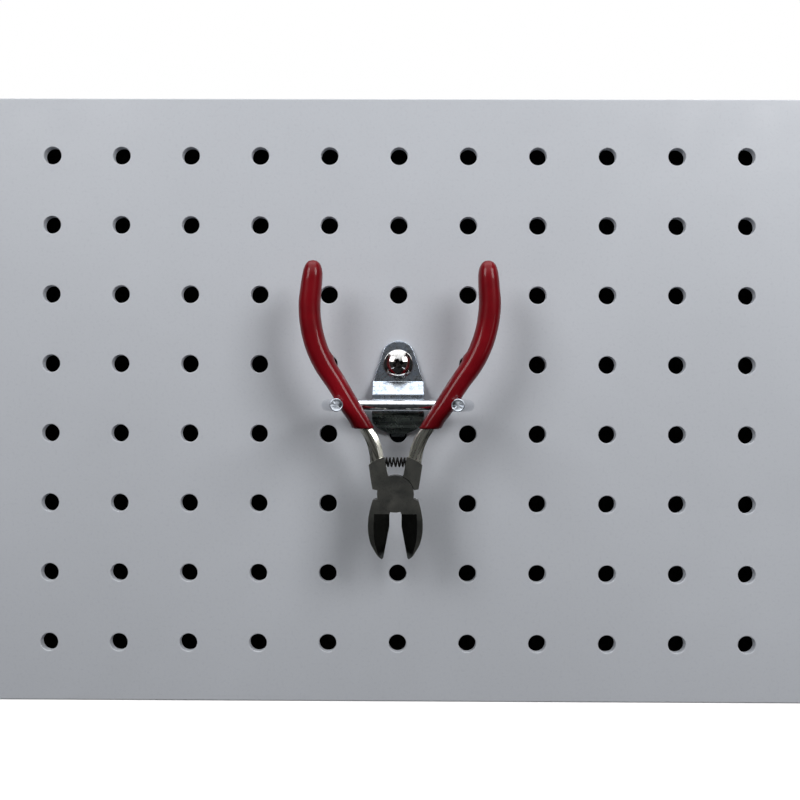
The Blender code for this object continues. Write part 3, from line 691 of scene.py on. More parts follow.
def wire_zinc_finish():
    """Bright zinc on drawn wire: draw lines, dull freckles, painted shade on the outer prongs and matt cropped
    tips.
    """
    finish = Finish("zinc_plated_wire", (0.78, 0.80, 0.83), 0.12, 1)
    lines = finish.noise(2600, 3, (0.04, 0.3, 1))
    freckles = finish.noise(800, 4)
    tone = finish.colours(freckles, (0.32, (0.50, 0.53, 0.58)), (0.48, (0.84, 0.86, 0.89)))
    # Painted shade: the prongs are darkened from 12 to 18 mm out from the panel's face onwards, for the shade
    # round the handles.
    prong_shade_tone = finish.mix(1, tone, (0.70, 0.73, 0.77, 1), "MULTIPLY")
    prongs = finish.zone(1, FACE - 0.012, FACE - 0.018)
    finish.paint(finish.mix(prongs, tone, prong_shade_tone))
    tips = finish.zone(1, FACE - PRONG_REACH + 0.0005, FACE - PRONG_REACH + 0.0002)
    finish.gloss(finish.mix(tips, finish.spread(freckles, 0.10, 0.04), (0.55, 0.55, 0.55, 1)))
    finish.relief(lines, 0.000003, 0.5)
    finish.relief(finish.noise(190, 2), 0.00006, 0.5)
    return finish.material


def screw_zinc_finish():
    """Bright plated screw: near mirror, with brownish wear and a slightly wavy face."""
    finish = Finish("bright_plated_screw", (0.76, 0.75, 0.74), 0.10, 1)
    surface_layer = finish.noise(650, 4, distortion=0.6)
    finish.wear(surface_layer, (0.34, (0.22, 0.19, 0.17)), (0.52, (0.48, 0.47, 0.46)), (0.14, 0.05))
    finish.relief(finish.noise(330, 2), 0.00006, 0.6)
    return finish.material


def shaded_recess_finish():
    """The inside of a driver recess: painted shade, dark and rough, with brighter spots at random."""
    finish = Finish("painted_shade_recess", (0.035, 0.033, 0.032), 0.5, 1)
    dents = finish.noise(1500, 3)
    finish.wear(dents, (0.42, (0.012, 0.011, 0.011)), (0.64, (0.16, 0.14, 0.13)), (0.60, 0.34))
    finish.relief(dents, 0.00006, 0.8)
    return finish.material


def nylon_finish():
    """Milky nylon with a faint moulded grain."""
    finish = Finish("moulded_nylon", (0.74, 0.72, 0.66), 0.45, Subsurface_Weight=0.15)
    finish.shader.inputs["Subsurface Scale"].default_value = 0.002
    clouds = finish.noise(300, 3)
    finish.wear(clouds, (0.3, (0.68, 0.66, 0.59)), (0.7, (0.78, 0.76, 0.70)), (0.36, 0.52))
    finish.relief(finish.noise(1500, 2), 0.00003, 0.6)
    return finish.material


def flat_steel_finish():
    """Surface-ground head of the cutters: dark, fine-grained and faintly olive."""
    finish = Finish("ground_head_steel", (0.20, 0.20, 0.19), 0.40, 1)
    clouds = finish.noise(160, 4, distortion=0.5)
    tone = finish.colours(clouds, (0.3, (0.140, 0.145, 0.137)), (0.7, (0.180, 0.177, 0.160)))
    specks = finish.colours(finish.noise(2200, 2), (0.30, (0.62, 0.62, 0.60)), (0.46, (1, 1, 1)))
    finish.paint(finish.mix(0.5, tone, specks, "MULTIPLY"))
    finish.gloss(finish.spread(clouds, 0.36, 0.48))
    finish.relief(finish.noise(1800, 3, (1, 1, 0.25)), 0.00002, 0.7)
    return finish.material


def bevel_steel_finish():
    """Hollow-ground cutting bevels: nearly black, a painted dark reflection, with grinding marks across."""
    finish = Finish("ground_bevel_steel", (0.075, 0.078, 0.072), 0.28, 1)
    marks = finish.noise(2600, 3, (0.06, 1, 1))
    finish.wear(marks, (0.35, (0.050, 0.052, 0.048)), (0.65, (0.110, 0.112, 0.102)), (0.17, 0.26))
    finish.relief(marks, 0.000004, 0.7)
    return finish.material


def tang_steel_finish(name, side):
    """Polished forging: bright steel with belt marks and darker streaks along the handle."""
    finish = Finish(name, (0.60, 0.59, 0.54), 0.24, 1)
    lean = (0, -side * math.radians(25), 0)
    marks = finish.noise(2300, 3, (1, 1, 0.05), lean)
    tone = finish.colours(marks, (0.34, (0.64, 0.63, 0.55)), (0.66, (0.84, 0.83, 0.74)))
    scale = finish.noise(820, 2, (1, 1, 0.04), lean)
    streaks = finish.colours(scale, (0.36, (0.30, 0.30, 0.27)), (0.46, (1, 1, 1)))
    finish.paint(finish.mix(0.8, tone, streaks, "MULTIPLY"))
    finish.gloss(finish.spread(marks, 0.24, 0.34))
    finish.relief(marks, 0.000005, 0.5)
    return finish.material


def spring_finish():
    """Oiled spring wire."""
    finish = Finish("oiled_spring_wire", (0.05, 0.05, 0.052), 0.32, 1)
    surface_layer = finish.noise(1300, 3)
    finish.wear(surface_layer, (0.3, (0.008, 0.008, 0.009)), (0.7, (0.030, 0.028, 0.026)), (0.24, 0.42))
    finish.relief(surface_layer, 0.00001, 0.5)
    return finish.material


def vinyl_finish():
    """Dipped vinyl: deep glossy red with slow waves and a fine grain."""
    colour = (0.20, 0.0030, 0.0075)
    finish = Finish("dipped_red_vinyl", colour, 0.36, Coat_Weight=0.30, Coat_Roughness=0.07)
    finish.shader.inputs["Specular IOR Level"].default_value = 0.1
    depth = finish.noise(70, 3, distortion=0.5)
    finish.paint(finish.colours(depth, (0.3, tint(colour, 0.80)), (0.7, tint(colour, 1.22))))
    finish.gloss(finish.spread(finish.noise(240, 3), 0.30, 0.40))
    finish.relief(finish.noise(105, 2), 0.00022, 0.6)
    finish.relief(finish.noise(1500, 2), 0.00001, 0.5)
    return finish.material


# --- board


def hole_places():
    """Each hole's centre, with the cell of board round it as (left, right, bottom, top)."""
    for row in range(ROWS):
        for column in range(COLUMNS):
            x = (column - (COLUMNS - 1) / 2) * PITCH
            z = GRID_Z + ((ROWS - 1) / 2 - row) * PITCH
            left = PANEL_LOW.x if column == 0 else x - PITCH / 2
            right = PANEL_HIGH.x if column == COLUMNS - 1 else x + PITCH / 2
            top = PANEL_HIGH.z if row == 0 else z + PITCH / 2
            bottom = PANEL_LOW.z if row == ROWS - 1 else z - PITCH / 2
            yield x, z, (left, right, bottom, top)


def cell_border(cell, per_side):
    """Points round a cell, anticlockwise from the middle of its right side."""
    left, right, bottom, top = cell
    corners = [(right, bottom), (right, top), (left, top), (left, bottom)]
    points = []
    for (x1, z1), (x2, z2) in zip(corners, corners[1:] + corners[:1]):
        for step in range(per_side):
            share = step / per_side
            points.append((x1 + (x2 - x1) * share, z1 + (z2 - z1) * share))
    half = per_side // 2
    return points[half:] + points[:half]


def make_panel(material):
    """Board cell by cell: flat faces, and a hole with a rounded rim at each end."""
    rim = arc((HOLE_RADIUS + HOLE_RIM, HOLE_RIM), HOLE_RIM, 270, 180, 5)
    profile = rim + [(radius, PANEL_THICKNESS - deep) for radius, deep in reversed(rim)]
    circle = [(math.cos(t), math.sin(t)) for t in turns_round(HOLE_SIDES)]
    bm = bmesh.new()
    for x, z, cell in hole_places():
        border = cell_border(cell, HOLE_SIDES // 4)
        rings = [[bm.verts.new((px, FACE, pz)) for px, pz in border]]
        for radius, deep in profile:
            rings.append([bm.verts.new((x + radius * c, FACE + deep, z + radius * s)) for c, s in circle])
        rings.append([bm.verts.new((px, PANEL_BACK, pz)) for px, pz in border])
        for first, second in zip(rings, rings[1:]):
            bridge(bm, first, second)
    bmesh.ops.remove_doubles(bm, verts=bm.verts, dist=NUDGE)
    front = [e for e in bm.edges if e.is_boundary and e.verts[0].co.y < FACE + NUDGE]
    back = [e for e in bm.edges if e.is_boundary and e.verts[0].co.y > PANEL_BACK - NUDGE]
    bmesh.ops.bridge_loops(bm, edges=front + back)
    mesh = softened(mesh_of(bm), PANEL_EDGE, 3, 50)
    show("painted_panel", mesh, "peg_panel", [material])


def make_frame_rails():
    """Rails and stiles of planed pine, with slightly rounded edges."""
    level = pine_finish("planed_pine_level", 0)
    upright = pine_finish("planed_pine_upright", 2)
    pieces = {"top_rail": level, "bottom_rail": level, "left_stile": upright, "right_stile": upright}
    for node, wood in pieces.items():
        mesh = softened(cad_copy(node), 0.0004, 3, 60)
        show("pine_" + node, mesh, node, [wood], 30)


# A near-black sheet closes the back: painted shade, so that the holes look into darkness.
def make_back_sheet(material):
    mesh = softened(cad_copy("back_sheet"), 0.0002, 2, 60)
    show("shade_back_sheet", mesh, "back_sheet", [material])


def cross_recess(span, width, depth, top):
    """Cutters for a crossed recess that narrows as it goes down, centred on Z."""
    levels = ((top - depth, 0.42), (top, 1.0), (top + depth, 1.55))
    shapes = []
    for turn in (0, math.pi / 2):
        rings = []
        for height, share in levels:
            half, thin = span / 2 * share, width / 2 * (0.55 + 0.45 * share)
            corners = ((-half, -thin), (half, -thin), (half, thin), (-half, thin))
            rings.append([Vector((x, y, height)) for x, y in corners])
        shape = lofted_mesh(rings)
        shape.transform(Matrix.Rotation(turn, 4, "Z"))
        shapes.append(shape)
    return shapes


def make_wood_screw(node, material):
    """A countersunk screw that fills its CAD node's box: driver recess, cone and thread."""
    low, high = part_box(node)
    size = high - low
    axis = max(range(3), key=lambda index: size[index])
    length = size[axis]
    head = min(size[index] for index in range(3) if index != axis) / 2
    shank = head * 0.5
    root = shank * 0.80
    pitch = head * 0.42
    height = -(head - shank) * 1.05
    profile = [(0, 0), (head * 0.93, 0), (head, -head * 0.06), (shank, height)]
    while height - pitch > -length + 2.2 * shank:
        profile.append((shank, height - pitch * 0.45))
        profile += [(root, height - pitch * 0.55), (root, height - pitch * 0.90)]
        height -= pitch
        profile.append((shank, height))
    profile += [(root, -length + 2 * shank), (0, -length)]
    mesh = carved(turned_mesh(profile, 28), cutters=cross_recess(head * 1.1, head * 0.26, head * 0.5, 0))
    centre = (low + high) / 2
    if axis == 2:
        heads_up = high.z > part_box("top_rail")[0].z
        place = Matrix.Translation((centre.x, centre.y, high.z if heads_up else low.z))
        turn = Matrix.Identity(4) if heads_up else Matrix.Rotation(math.pi, 4, "X")
    else:
        place = Matrix.Translation((centre.x, high.y, centre.z))
        turn = Matrix.Rotation(-math.pi / 2, 4, "X")
    mesh.transform(place @ turn @ Matrix.Rotation(math.radians(31), 4, "Z"))
    show("cross_" + node, mesh, node, [material], 34)


def make_fittings(material, screw_material):
    """Keyhole plates, and the wood screws of the plates and of the frame."""
    for node in ("left_hanger", "right_hanger"):
        mesh = softened(cad_copy(node), 0.00018, 2, 60)
        show("keyhole_" + node, mesh, node, [material], 30)
    for number in range(1, 5):
        make_wood_screw(f"frame_screw_{number}", screw_material)
        make_wood_screw(f"hanger_screw_{number}", screw_material)


# --- hook


def bracket_half_width(z):
    """Half the bracket's width at a height above the grid centre."""
    if z > TAB_FOOT:
        for (high_z, high_half), (low_z, low_half) in zip(TAB_OUTLINE, TAB_OUTLINE[1:]):
            if z >= low_z:
                share = min((high_z - z) / (high_z - low_z), 1)
                return high_half + max(share, 0) * (low_half - high_half)
    if z > SHIELD_SHOULDER:
        return BRACKET_HALF_WIDTH
    if z > SHIELD_FOOT:
        share = (SHIELD_SHOULDER - z) / (SHIELD_SHOULDER - SHIELD_FOOT)
        return BRACKET_HALF_WIDTH - share**2.8 * (BRACKET_HALF_WIDTH - TONGUE_HALF_WIDTH)
    return TONGUE_HALF_WIDTH


def bracket_path():
    """The middle of the sheet from the tab's top to the tongue's end, as (z, out)."""
    step_length = 0.0004
    bends = (0.0009, 0.0010, 0.0030, 0.0008, 0.0008, 0.0008)
    flat = GAP + SHEET / 2
    behind = -PANEL_THICKNESS - TONGUE_BEHIND
    corners = [
        (TAB_TOP, flat),
        (TAB_FOOT, flat),
        (CREST_TOP, CREST_OUT),
        (CREST_FOOT, CREST_OUT),
        (SHIELD_FOOT, flat),
        (SHIELD_FOOT - 0.0008, -0.0010),
        (SHIELD_FOOT - 0.0010, behind),
        (TONGUE_END, behind),
    ]
    path = filleted(corners, bends)
    dense = [path[0]]
    for start, end in zip(path, path[1:]):
        count = max(1, math.ceil((end - start).length / step_length))
        dense += [start.lerp(end, (step + 1) / count) for step in range(count)]
    return dense


def rounded_section(half, thick, radius):
    """A flat bar's section with round corners, as (across, out) from its middle."""
    right, top = half - radius, thick - radius
    corners = ((right, top), (-right, top), (-right, -top), (right, -top))
    points = []
    for number, corner in enumerate(corners):
        points += arc(corner, radius, number * 90, number * 90 + 90, 4)
    return points


def make_bracket(material):
    """Stamped sheet with rolled-over edges: tab, slope, crest, shield and the tongue behind the panel."""
    path = bracket_path()
    stations = []
    for angle in (0, 30, 60):
        turn = math.radians(angle)
        along = SHEET_EDGE * (1 - math.cos(turn))
        stations.append((path[0] - Vector((along, 0)), Vector((0, 1)), SHEET_EDGE * (1 - math.sin(turn))))
    stations += [(point, across, 0) for point, across in list(zip(path, spine_normals(path)))[2:]]
    rings = []
    for point, across, shrink in stations:
        half = bracket_half_width(point[0]) - shrink
        section = rounded_section(half, SHEET / 2 - shrink, SHEET_EDGE - shrink * 0.95)
        places = [(x, point + across * out) for x, out in section]
        rings.append([Vector((x, FACE - place[1], GRID_Z + place[0])) for x, place in places])
    drill = rod_mesh(BRACKET_HOLE_RADIUS, (0, FACE - 0.004, SCREW_Z), (0, FACE + 0.002, SCREW_Z), 40)
    mesh = carved(lofted_mesh(rings), cutters=[drill])
    show("stamped_bracket", mesh, "hook_bracket", [material], 40)


def wire_points():
    """The wire's centre line from the left tip to the right."""
    out = GAP + CREST_OUT + SHEET / 2 + WIRE_RADIUS
    centre = (WIRE_HALF_SPAN - WIRE_BEND_RADIUS, out + WIRE_BEND_RADIUS)
    bend = arc(centre, WIRE_BEND_RADIUS, -90, math.degrees(WIRE_TOE_IN), 20)
    last_x, last_out = bend[-1]
    tip_x = last_x - (PRONG_REACH - last_out) * math.tan(WIRE_TOE_IN)
    across, outward = tip_x - last_x, PRONG_REACH - last_out
    shares = [step / 16 for step in range(1, 17)]
    run = [(last_x + across * share, last_out + outward * share) for share in shares]
    right = bend + run
    left = [(-x, y) for x, y in reversed(right)]
    crossbar = [(left[-1][0] * (1 - step / 8), out) for step in range(1, 16)]
    return [Vector((x, FACE - y, WIRE_Z)) for x, y in left + crossbar + right]


def make_wire(material):
    """Bent wire whose cropped tips are a little uneven."""
    chamfer = 0.00022
    hollow, dent, grain = 0.00012, 0.00022, 0.00003
    points = wire_points()
    starts = [points[0], points[0] + (points[1] - points[0]).normalized() * chamfer]
    ends = [points[-1] + (points[-2] - points[-1]).normalized() * chamfer, points[-1]]
    path = starts + points[1:-1] + ends
    radii = [WIRE_RADIUS] * len(path)
    radii[0] = radii[-1] = WIRE_RADIUS - chamfer
    rings = swept_rings(path, radii, 36)
    draw = random.Random(5)
    for end, inner in ((0, 1), (-1, -2)):
        inward = (path[inner] - path[end]).normalized()
        faces = []
        for share in (0.82, 0.5, 0.2):
            ring = []
            for point in rings[end]:
                sunk = noise.noise(point * 900) * dent + hollow + draw.random() * grain
                ring.append(path[end].lerp(point, share) + inward * sunk)
            faces.append(ring)
        rings = [*reversed(faces), *rings] if end == 0 else [*rings, *faces]
    show("bent_prong_wire", lofted_mesh(rings), "prong_wire", [material], 40)


def dome_height(radius):
    """Height of the screw's round-topped head at a distance from its axis."""
    rise = SCREW_HEAD_HEIGHT - SCREW_RIM
    sphere = (SCREW_DOME_RADIUS**2 + rise**2) / (2 * rise)
    return SCREW_HEAD_HEIGHT - sphere + math.sqrt(sphere**2 - min(radius, SCREW_DOME_RADIUS) ** 2)


def make_hook_screw(material):
    """Pan-head screw with a crossed recess and a threaded shank."""
    edge = 0.00022
    root = SCREW_SHANK_RADIUS * THREAD_DEPTH
    radii = [SCREW_DOME_RADIUS * step / 16 for step in range(17)]
    profile = [(radius, dome_height(radius)) for radius in radii]
    profile += arc((SCREW_HEAD_RADIUS - edge, SCREW_RIM * 0.62), edge, 90, 0, 5)
    profile += [(SCREW_HEAD_RADIUS, 0.0001), (SCREW_HEAD_RADIUS - 0.0001, 0), (SCREW_SHANK_RADIUS, 0)]
    height = THREAD_START
    while height > THREAD_END:
        profile += [(root, height), (SCREW_SHANK_RADIUS, height - THREAD_PITCH * 0.45)]
        profile.append((root, height - THREAD_PITCH * 0.9))
        height -= THREAD_PITCH
    profile += [(SCREW_SHANK_RADIUS * 0.8, -SCREW_LENGTH + 0.002), (0, -SCREW_LENGTH)]
    recess = cross_recess(RECESS_SPAN, RECESS_WIDTH, RECESS_DEPTH, SCREW_HEAD_HEIGHT)
    mesh = carved(turned_mesh(profile, 64), cutters=recess)
    # Faces inside the recess take the second material, whose dark colour is painted shade.
    for polygon in mesh.polygons:
        x, y, z = polygon.center
        radius = math.hypot(x, y)
        in_recess_shade = radius < RECESS_REACH and RECESS_FLOOR < z < dome_height(radius) - ON_FACE
        polygon.material_index = 1 if in_recess_shade else 0
    under = GAP + SHEET + SCREW_CLEARANCE
    place = Matrix.Translation((0, FACE - under, SCREW_Z)) @ Matrix.Rotation(math.pi / 2, 4, "X")
    mesh.transform(place @ Matrix.Rotation(SCREW_TURN, 4, "Z"))
    show("pan_head_screw", mesh, "hook_screw", [material, shaded_recess_finish()], 34)


def make_plug(material):
    """The plug that the hook screw bites into: swollen and split behind the panel."""
    bore = SCREW_SHANK_RADIUS + GAP
    swell = -PANEL_THICKNESS - 2 * GAP
    profile = [(bore, 0), (PLUG_RADIUS - 0.0001, 0), (PLUG_RADIUS, -0.0001), (PLUG_RADIUS, swell)]
    profile += [(PLUG_SWELL - 0.0002, swell - 0.0005), (PLUG_SWELL, swell - 0.0009)]
    profile += [(PLUG_SWELL, swell - 0.0030), (PLUG_RADIUS, -PLUG_LENGTH), (bore, -PLUG_LENGTH)]
    split = box_mesh((-0.0060, -0.0004, -PLUG_LENGTH - 0.001), (0.0060, 0.0004, swell - 0.0006))
    mesh = carved(turned_mesh(profile, 40), cutters=[split])
    mesh.transform(Matrix.Translation((0, FACE, SCREW_Z)) @ Matrix.Rotation(math.pi / 2, 4, "X"))
    show("split_plug", mesh, "screw_plug", [material], 34)


# --- side cutters


def lever_outline():
    """One lever's head seen from the front: arm up to the right, disc, and jaw down to the left."""
    edge = math.tan(EDGE_ANGLE)
    jaw_back = [
        (-0.0079, -0.0023),
        (-0.0087, -0.0052),
        (-0.0093, -0.0086),
        (-0.0094, -0.0118),
        (-0.0091, -0.0146),
        (-0.0084, -0.0172),
        (-0.0073, -0.0193),
        (-0.0061, -0.0212),
        (-edge * JAW_LENGTH - 0.0005, -JAW_LENGTH),
    ]
    jaw_outer = smooth_spine(jaw_back, 5)
    jaw_inner = [(-edge * JAW_LENGTH, -JAW_LENGTH + 0.0004), (-edge * 0.0115, -0.0115), (-0.0021, -0.0074)]
    arm_outer = [(0.0079, 0.0017), (0.0085, 0.0052), (0.0092, 0.0100), (0.0080, 0.0109), (0.0065, 0.0118)]
    arm_inner = [(0.0047, 0.0125), (0.0039, 0.0125), (0.0037, 0.0116), (0.0027, 0.0066)]
    upper_disc = arc((0, 0), DISC_RADIUS, 67, 195, 44)
    lower_disc = arc((0, 0), DISC_RADIUS, -106, 12, 40)
    return upper_disc + jaw_outer + jaw_inner + lower_disc + arm_outer + arm_inner


def leaning(spine, side):
    """A handle's centre line with the lean that both handles share."""
    return [
        (x + side * HANDLE_LEAN * max(z - LEAN_START, 0), z, *sizes)
        for x, z, *sizes in spine
    ]


def tang_rings(section, side):
    """Sections of a handle's steel from the head to inside the grip."""
    spine = smooth_spine(leaning(TANG_SPINE, side), 6)
    rings = []
    for (x, z, half), across in zip(spine, spine_normals(spine)):
        centre = Vector((x, z))
        points = []
        for wide, deep in section:
            place = centre + across * (wide * half)
            points.append(Vector((place.x, deep * TANG_THICKNESS / 2, place.y)))
        rings.append(points)
    return rings


def tang_section(outer_chamfer, inner_chamfer):
    """A forged bar's section as (across, deep): two front chamfers as wide as asked."""
    outer, inner = 1 - outer_chamfer, inner_chamfer - 1
    front = [(1, -0.52), (outer, -1), (inner, -1), (-1, -0.68)]
    back = [(-1, 0.35), (-0.55, 1), (0.55, 1), (1, 0.35)]
    return front + back


def jaw_half_thickness(depth):
    """Half a jaw's thickness at a distance below the pivot."""
    return HEAD_THICKNESS / 2 - max(depth - JAW_TAPER_START, 0) * math.tan(JAW_TAPER)


def bevel_cutter(side, face, stations, edge_level):
    """What grinding removes from one face of a jaw, down to its cutting edge."""
    outside = face * HEAD_THICKNESS
    rings = []
    for depth, outer_x in stations:
        half = jaw_half_thickness(depth)
        edge_x = math.tan(EDGE_ANGLE) * depth
        level = edge_level * half
        section = (
            (-outer_x, face * half),
            (-edge_x, level),
            (0.001, level),
            (0.001, outside),
            (-outer_x, outside),
        )
        rings.append([Vector((x, y, -depth)) for x, y in section])
    return mirrored(lofted_mesh(rings), side)


def taper_cutter(side, face):
    """The wedge that thins a jaw towards its tip on one face."""
    depths = sorted((0, face * 0.004))
    mesh = box_mesh((-0.016, depths[0], -0.030), (0.002, depths[1], 0))
    place = Matrix.Translation((0, face * HEAD_THICKNESS / 2, -JAW_TAPER_START))
    mesh.transform(place @ Matrix.Rotation(-face * JAW_TAPER, 4, "X"))
    return mirrored(mesh, side)


def jaw_cutters(side):
    back_ends = (0.0100, 0.0240)
    back_bevel = [(depth, math.tan(EDGE_ANGLE) * depth + BACK_BEVEL_WIDTH) for depth in back_ends]
    return [
        bevel_cutter(side, -1, smooth_spine(FRONT_BEVEL, 4), FRONT_EDGE_LEVEL),
        bevel_cutter(side, 1, back_bevel, BACK_EDGE_LEVEL),
        taper_cutter(side, -1),
        taper_cutter(side, 1),
    ]


def mark_lever_faces(mesh):
    """Material 0 on the flats, 1 on the handle's steel and 2 on the ground bevels."""
    flat_half = HEAD_THICKNESS / 2
    for polygon in mesh.polygons:
        y, z = polygon.center.yz
        normal = polygon.normal
        taper = max(-z - JAW_TAPER_START, 0) * math.tan(JAW_TAPER)
        on_face = abs(abs(y) - (flat_half - taper)) < ON_FACE and abs(normal.y) > FACING_FLAT
        if z > TANG_FOOT and abs(y) < TANG_REACH and not on_face:
            polygon.material_index = 1
        elif z < BEVEL_TOP and not on_face and abs(normal.y) > FACING_GROUND:
            polygon.material_index = 2
        else:
            polygon.material_index = 0


def make_lever(name, node, side, disc_in_front, section, materials):
    """side 1 has its arm on the right. The lapped disc is half the head's thickness."""
    head = mirrored(prism_mesh(lever_outline(), HEAD_THICKNESS), side)
    tang = mirrored(lofted_mesh(tang_rings(section, side)), side)
    away = 1 if disc_in_front else -1
    shift = 0 if disc_in_front else SEAM_SHIFT
    lap_ends = (shift, -away * SEAM / 2, shift), (shift, away * 0.005, shift)
    seat_ends = (side * 0.0010, 0, SPRING_HEIGHT), (side * SEAT_FLOOR_X, 0, SPRING_HEIGHT)
    cutters = [
        rod_mesh(DISC_RADIUS + SEAM + shift, *lap_ends, 120),
        rod_mesh(SEAT_RADIUS, *seat_ends, 32),
        *jaw_cutters(side),
    ]
    bore = RIVET_RADIUS + SEAM
    if disc_in_front:
        bore_start = (0, -HEAD_THICKNESS / 2 + RIVET_FACE_COVER, 0)
        cutters.append(rod_mesh(bore, bore_start, (0, 0.005, 0), 48))
    else:
        cutters.append(rod_mesh(bore, (0, -0.005, 0), (0, 0.005, 0), 48))
        sink = HEAD_THICKNESS / 2 - RIVET_HEAD_DEPTH - SEAM
        cutters.append(rod_mesh(RIVET_HEAD_RADIUS + SEAM, (0, sink, 0), (0, 0.005, 0), 64))
    mesh = tidied(carved(head, [tang], cutters), 0.2)
    mesh = softened(mesh, LEVER_EDGE, 2, 24)
    mark_lever_faces(mesh)
    mesh.transform(CUTTER_FRAME)
    show(name, mesh, node, materials, 30)


def make_rivet(material):
    """A plain pin with a flat head, dimpled at its centre, set into the rear disc."""
    edge = 0.0002
    tip = HEAD_THICKNESS / 2 - RIVET_FACE_COVER - 0.0001
    head_top = HEAD_THICKNESS / 2 - 0.0001
    under = -head_top + RIVET_HEAD_DEPTH
    profile = [(0, tip), (RIVET_RADIUS, tip), (RIVET_RADIUS, under), (RIVET_HEAD_RADIUS, under)]
    profile += arc((RIVET_HEAD_RADIUS - edge, -head_top + edge), edge, 0, -80, 4)
    profile += [(0.0012, -head_top + 0.00002), (0.0004, -head_top + 0.0001), (0, -head_top + 0.00013)]
    mesh = turned_mesh(profile, 48)
    mesh.transform(CUTTER_FRAME @ Matrix.Rotation(math.pi / 2, 4, "X"))
    show("set_pivot_rivet", mesh, "pivot_rivet", [material], 34)


def make_spring(material):
    """A compression coil, closer wound at its ends. In the real tool it shortens as the levers close; this one
    keeps one shape.
    """
    steps = 28
    bunching = 0.055
    count = SPRING_TURNS * steps
    points = []
    for index in range(count + 1):
        share = 2 * index / count - 1
        spread = share + bunching * math.sin(math.pi * share)
        turn = 2 * math.pi * index / steps
        x = (SPRING_HALF_LENGTH - SPRING_WIRE_RADIUS) * spread
        place = (x, -SPRING_RADIUS * math.sin(turn), SPRING_HEIGHT + SPRING_RADIUS * math.cos(turn))
        points.append(Vector(place))
    mesh = lofted_mesh(swept_rings(points, [SPRING_WIRE_RADIUS] * len(points), 12))
    mesh.transform(CUTTER_FRAME)
    obj = show("coiled_return_spring", mesh, "return_spring", [material], 60)
    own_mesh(obj)


def grip_ring(centre, across, half, deep, along):
    """A rounded, slightly boxy section with the inner nub's swelling added."""
    points = []
    nub = math.exp(-(((along - NUB_HEIGHT) / NUB_LENGTH) ** 2))
    for index in range(GRIP_SIDES):
        turn = 2 * math.pi * (index + 0.5) / GRIP_SIDES
        c, s = math.cos(turn), math.sin(turn)
        wide = math.copysign(abs(c) ** GRIP_BOXINESS, c) * half
        thick = math.copysign(abs(s) ** GRIP_BOXINESS, s) * deep
        inner = max(-c, 0) ** 6
        place = centre + across * (wide - inner * nub * NUB_RISE)
        points.append(Vector((place.x, thick, place.y)))
    return points


def make_grip(name, node, side, material):
    """A dipped sleeve: a rolled mouth round the steel, then the curved body to the tip."""
    spine = smooth_spine(leaning(GRIP_SPINE, side), 7)
    normals = spine_normals(spine)
    level = Vector((1, 0))
    mouth = spine[0]
    lip = 0.0005
    tang_half, tang_deep = 0.0021, TANG_THICKNESS / 2 + 0.00005
    inside = Vector((0.0127, mouth[1] + 0.0026))
    inner_lip = Vector((mouth[0] - 0.0001, mouth[1] + 0.0004))
    rings = [
        grip_ring(inside, level, tang_half * 0.9, tang_deep, 0),
        grip_ring(inner_lip, level, tang_half * 1.2, tang_deep, 0),
    ]
    for angle in (0, 30, 60, 90):
        turn = math.radians(angle)
        shrink = lip * (1 - math.sin(turn))
        centre = Vector((mouth[0], mouth[1] + lip * (1 - math.cos(turn))))
        rings.append(grip_ring(centre, level, mouth[2] * MOUTH_SLANT - shrink, mouth[3] - shrink, 0))
    for (x, z, half, deep), across in list(zip(spine, normals))[2:]:
        early = max(0, 1 - (z - mouth[1]) / MOUTH_LENGTH)
        direction = across.lerp(level, early * 0.8).normalized()
        wave = 1 + GRIP_WAVE * noise.noise(Vector((x * 90, side * 3.1, z * 90)))
        ring_half = half * (1 + (MOUTH_SLANT - 1) * early) * wave
        rings.append(grip_ring(Vector((x, z)), direction, ring_half, deep * wave, z))
    mesh = mirrored(lofted_mesh(rings), side)
    mesh.transform(CUTTER_FRAME)
    show(name, mesh, node, [material], 50)


def make_side_cutters():
    flats = flat_steel_finish()
    left_tang = tang_steel_finish("polished_left_tang", -1)
    right_tang = tang_steel_finish("polished_right_tang", 1)
    bevels = bevel_steel_finish()
    left_section = tang_section(0.52, 0.66)
    right_section = tang_section(0.72, 0.22)
    make_lever("forged_front_lever", "front_lever", -1, True, left_section, [flats, left_tang, bevels])
    make_lever("forged_rear_lever", "rear_lever", 1, False, right_section, [flats, right_tang, bevels])
    make_rivet(right_tang)
    make_spring(spring_finish())
    vinyl = vinyl_finish()
    make_grip("dipped_left_grip", "left_grip", -1, vinyl)
    make_grip("dipped_right_grip", "right_grip", 1, vinyl)


# --- studio


def make_floor():
    """A plain pale floor under the board, which neither lights it nor shows in its metal."""
    bm = bmesh.new()
    bmesh.ops.create_grid(bm, x_segments=8, y_segments=8, size=FLOOR_HALF)
    bmesh.ops.translate(bm, verts=bm.verts, vec=(0, 0, CAD_LOW.z - FLOOR_GAP))
    mesh = mesh_of(bm, "floor")
    finish = Finish("pale_floor", (0.92, 0.92, 0.92), 0.9, Specular_IOR_Level=0.1)
    finish.shader.inputs["Emission Color"].default_value = (1, 1, 1, 1)
    finish.shader.inputs["Emission Strength"].default_value = 0.6
    finish.paint(finish.colours(finish.noise(4, 3), (0.3, (0.90, 0.90, 0.90)), (0.7, (0.94, 0.94, 0.94))))
    mesh.materials.append(finish.material)
    floor = placed("floor", mesh)
    floor.visible_glossy = False
    floor.visible_diffuse = False


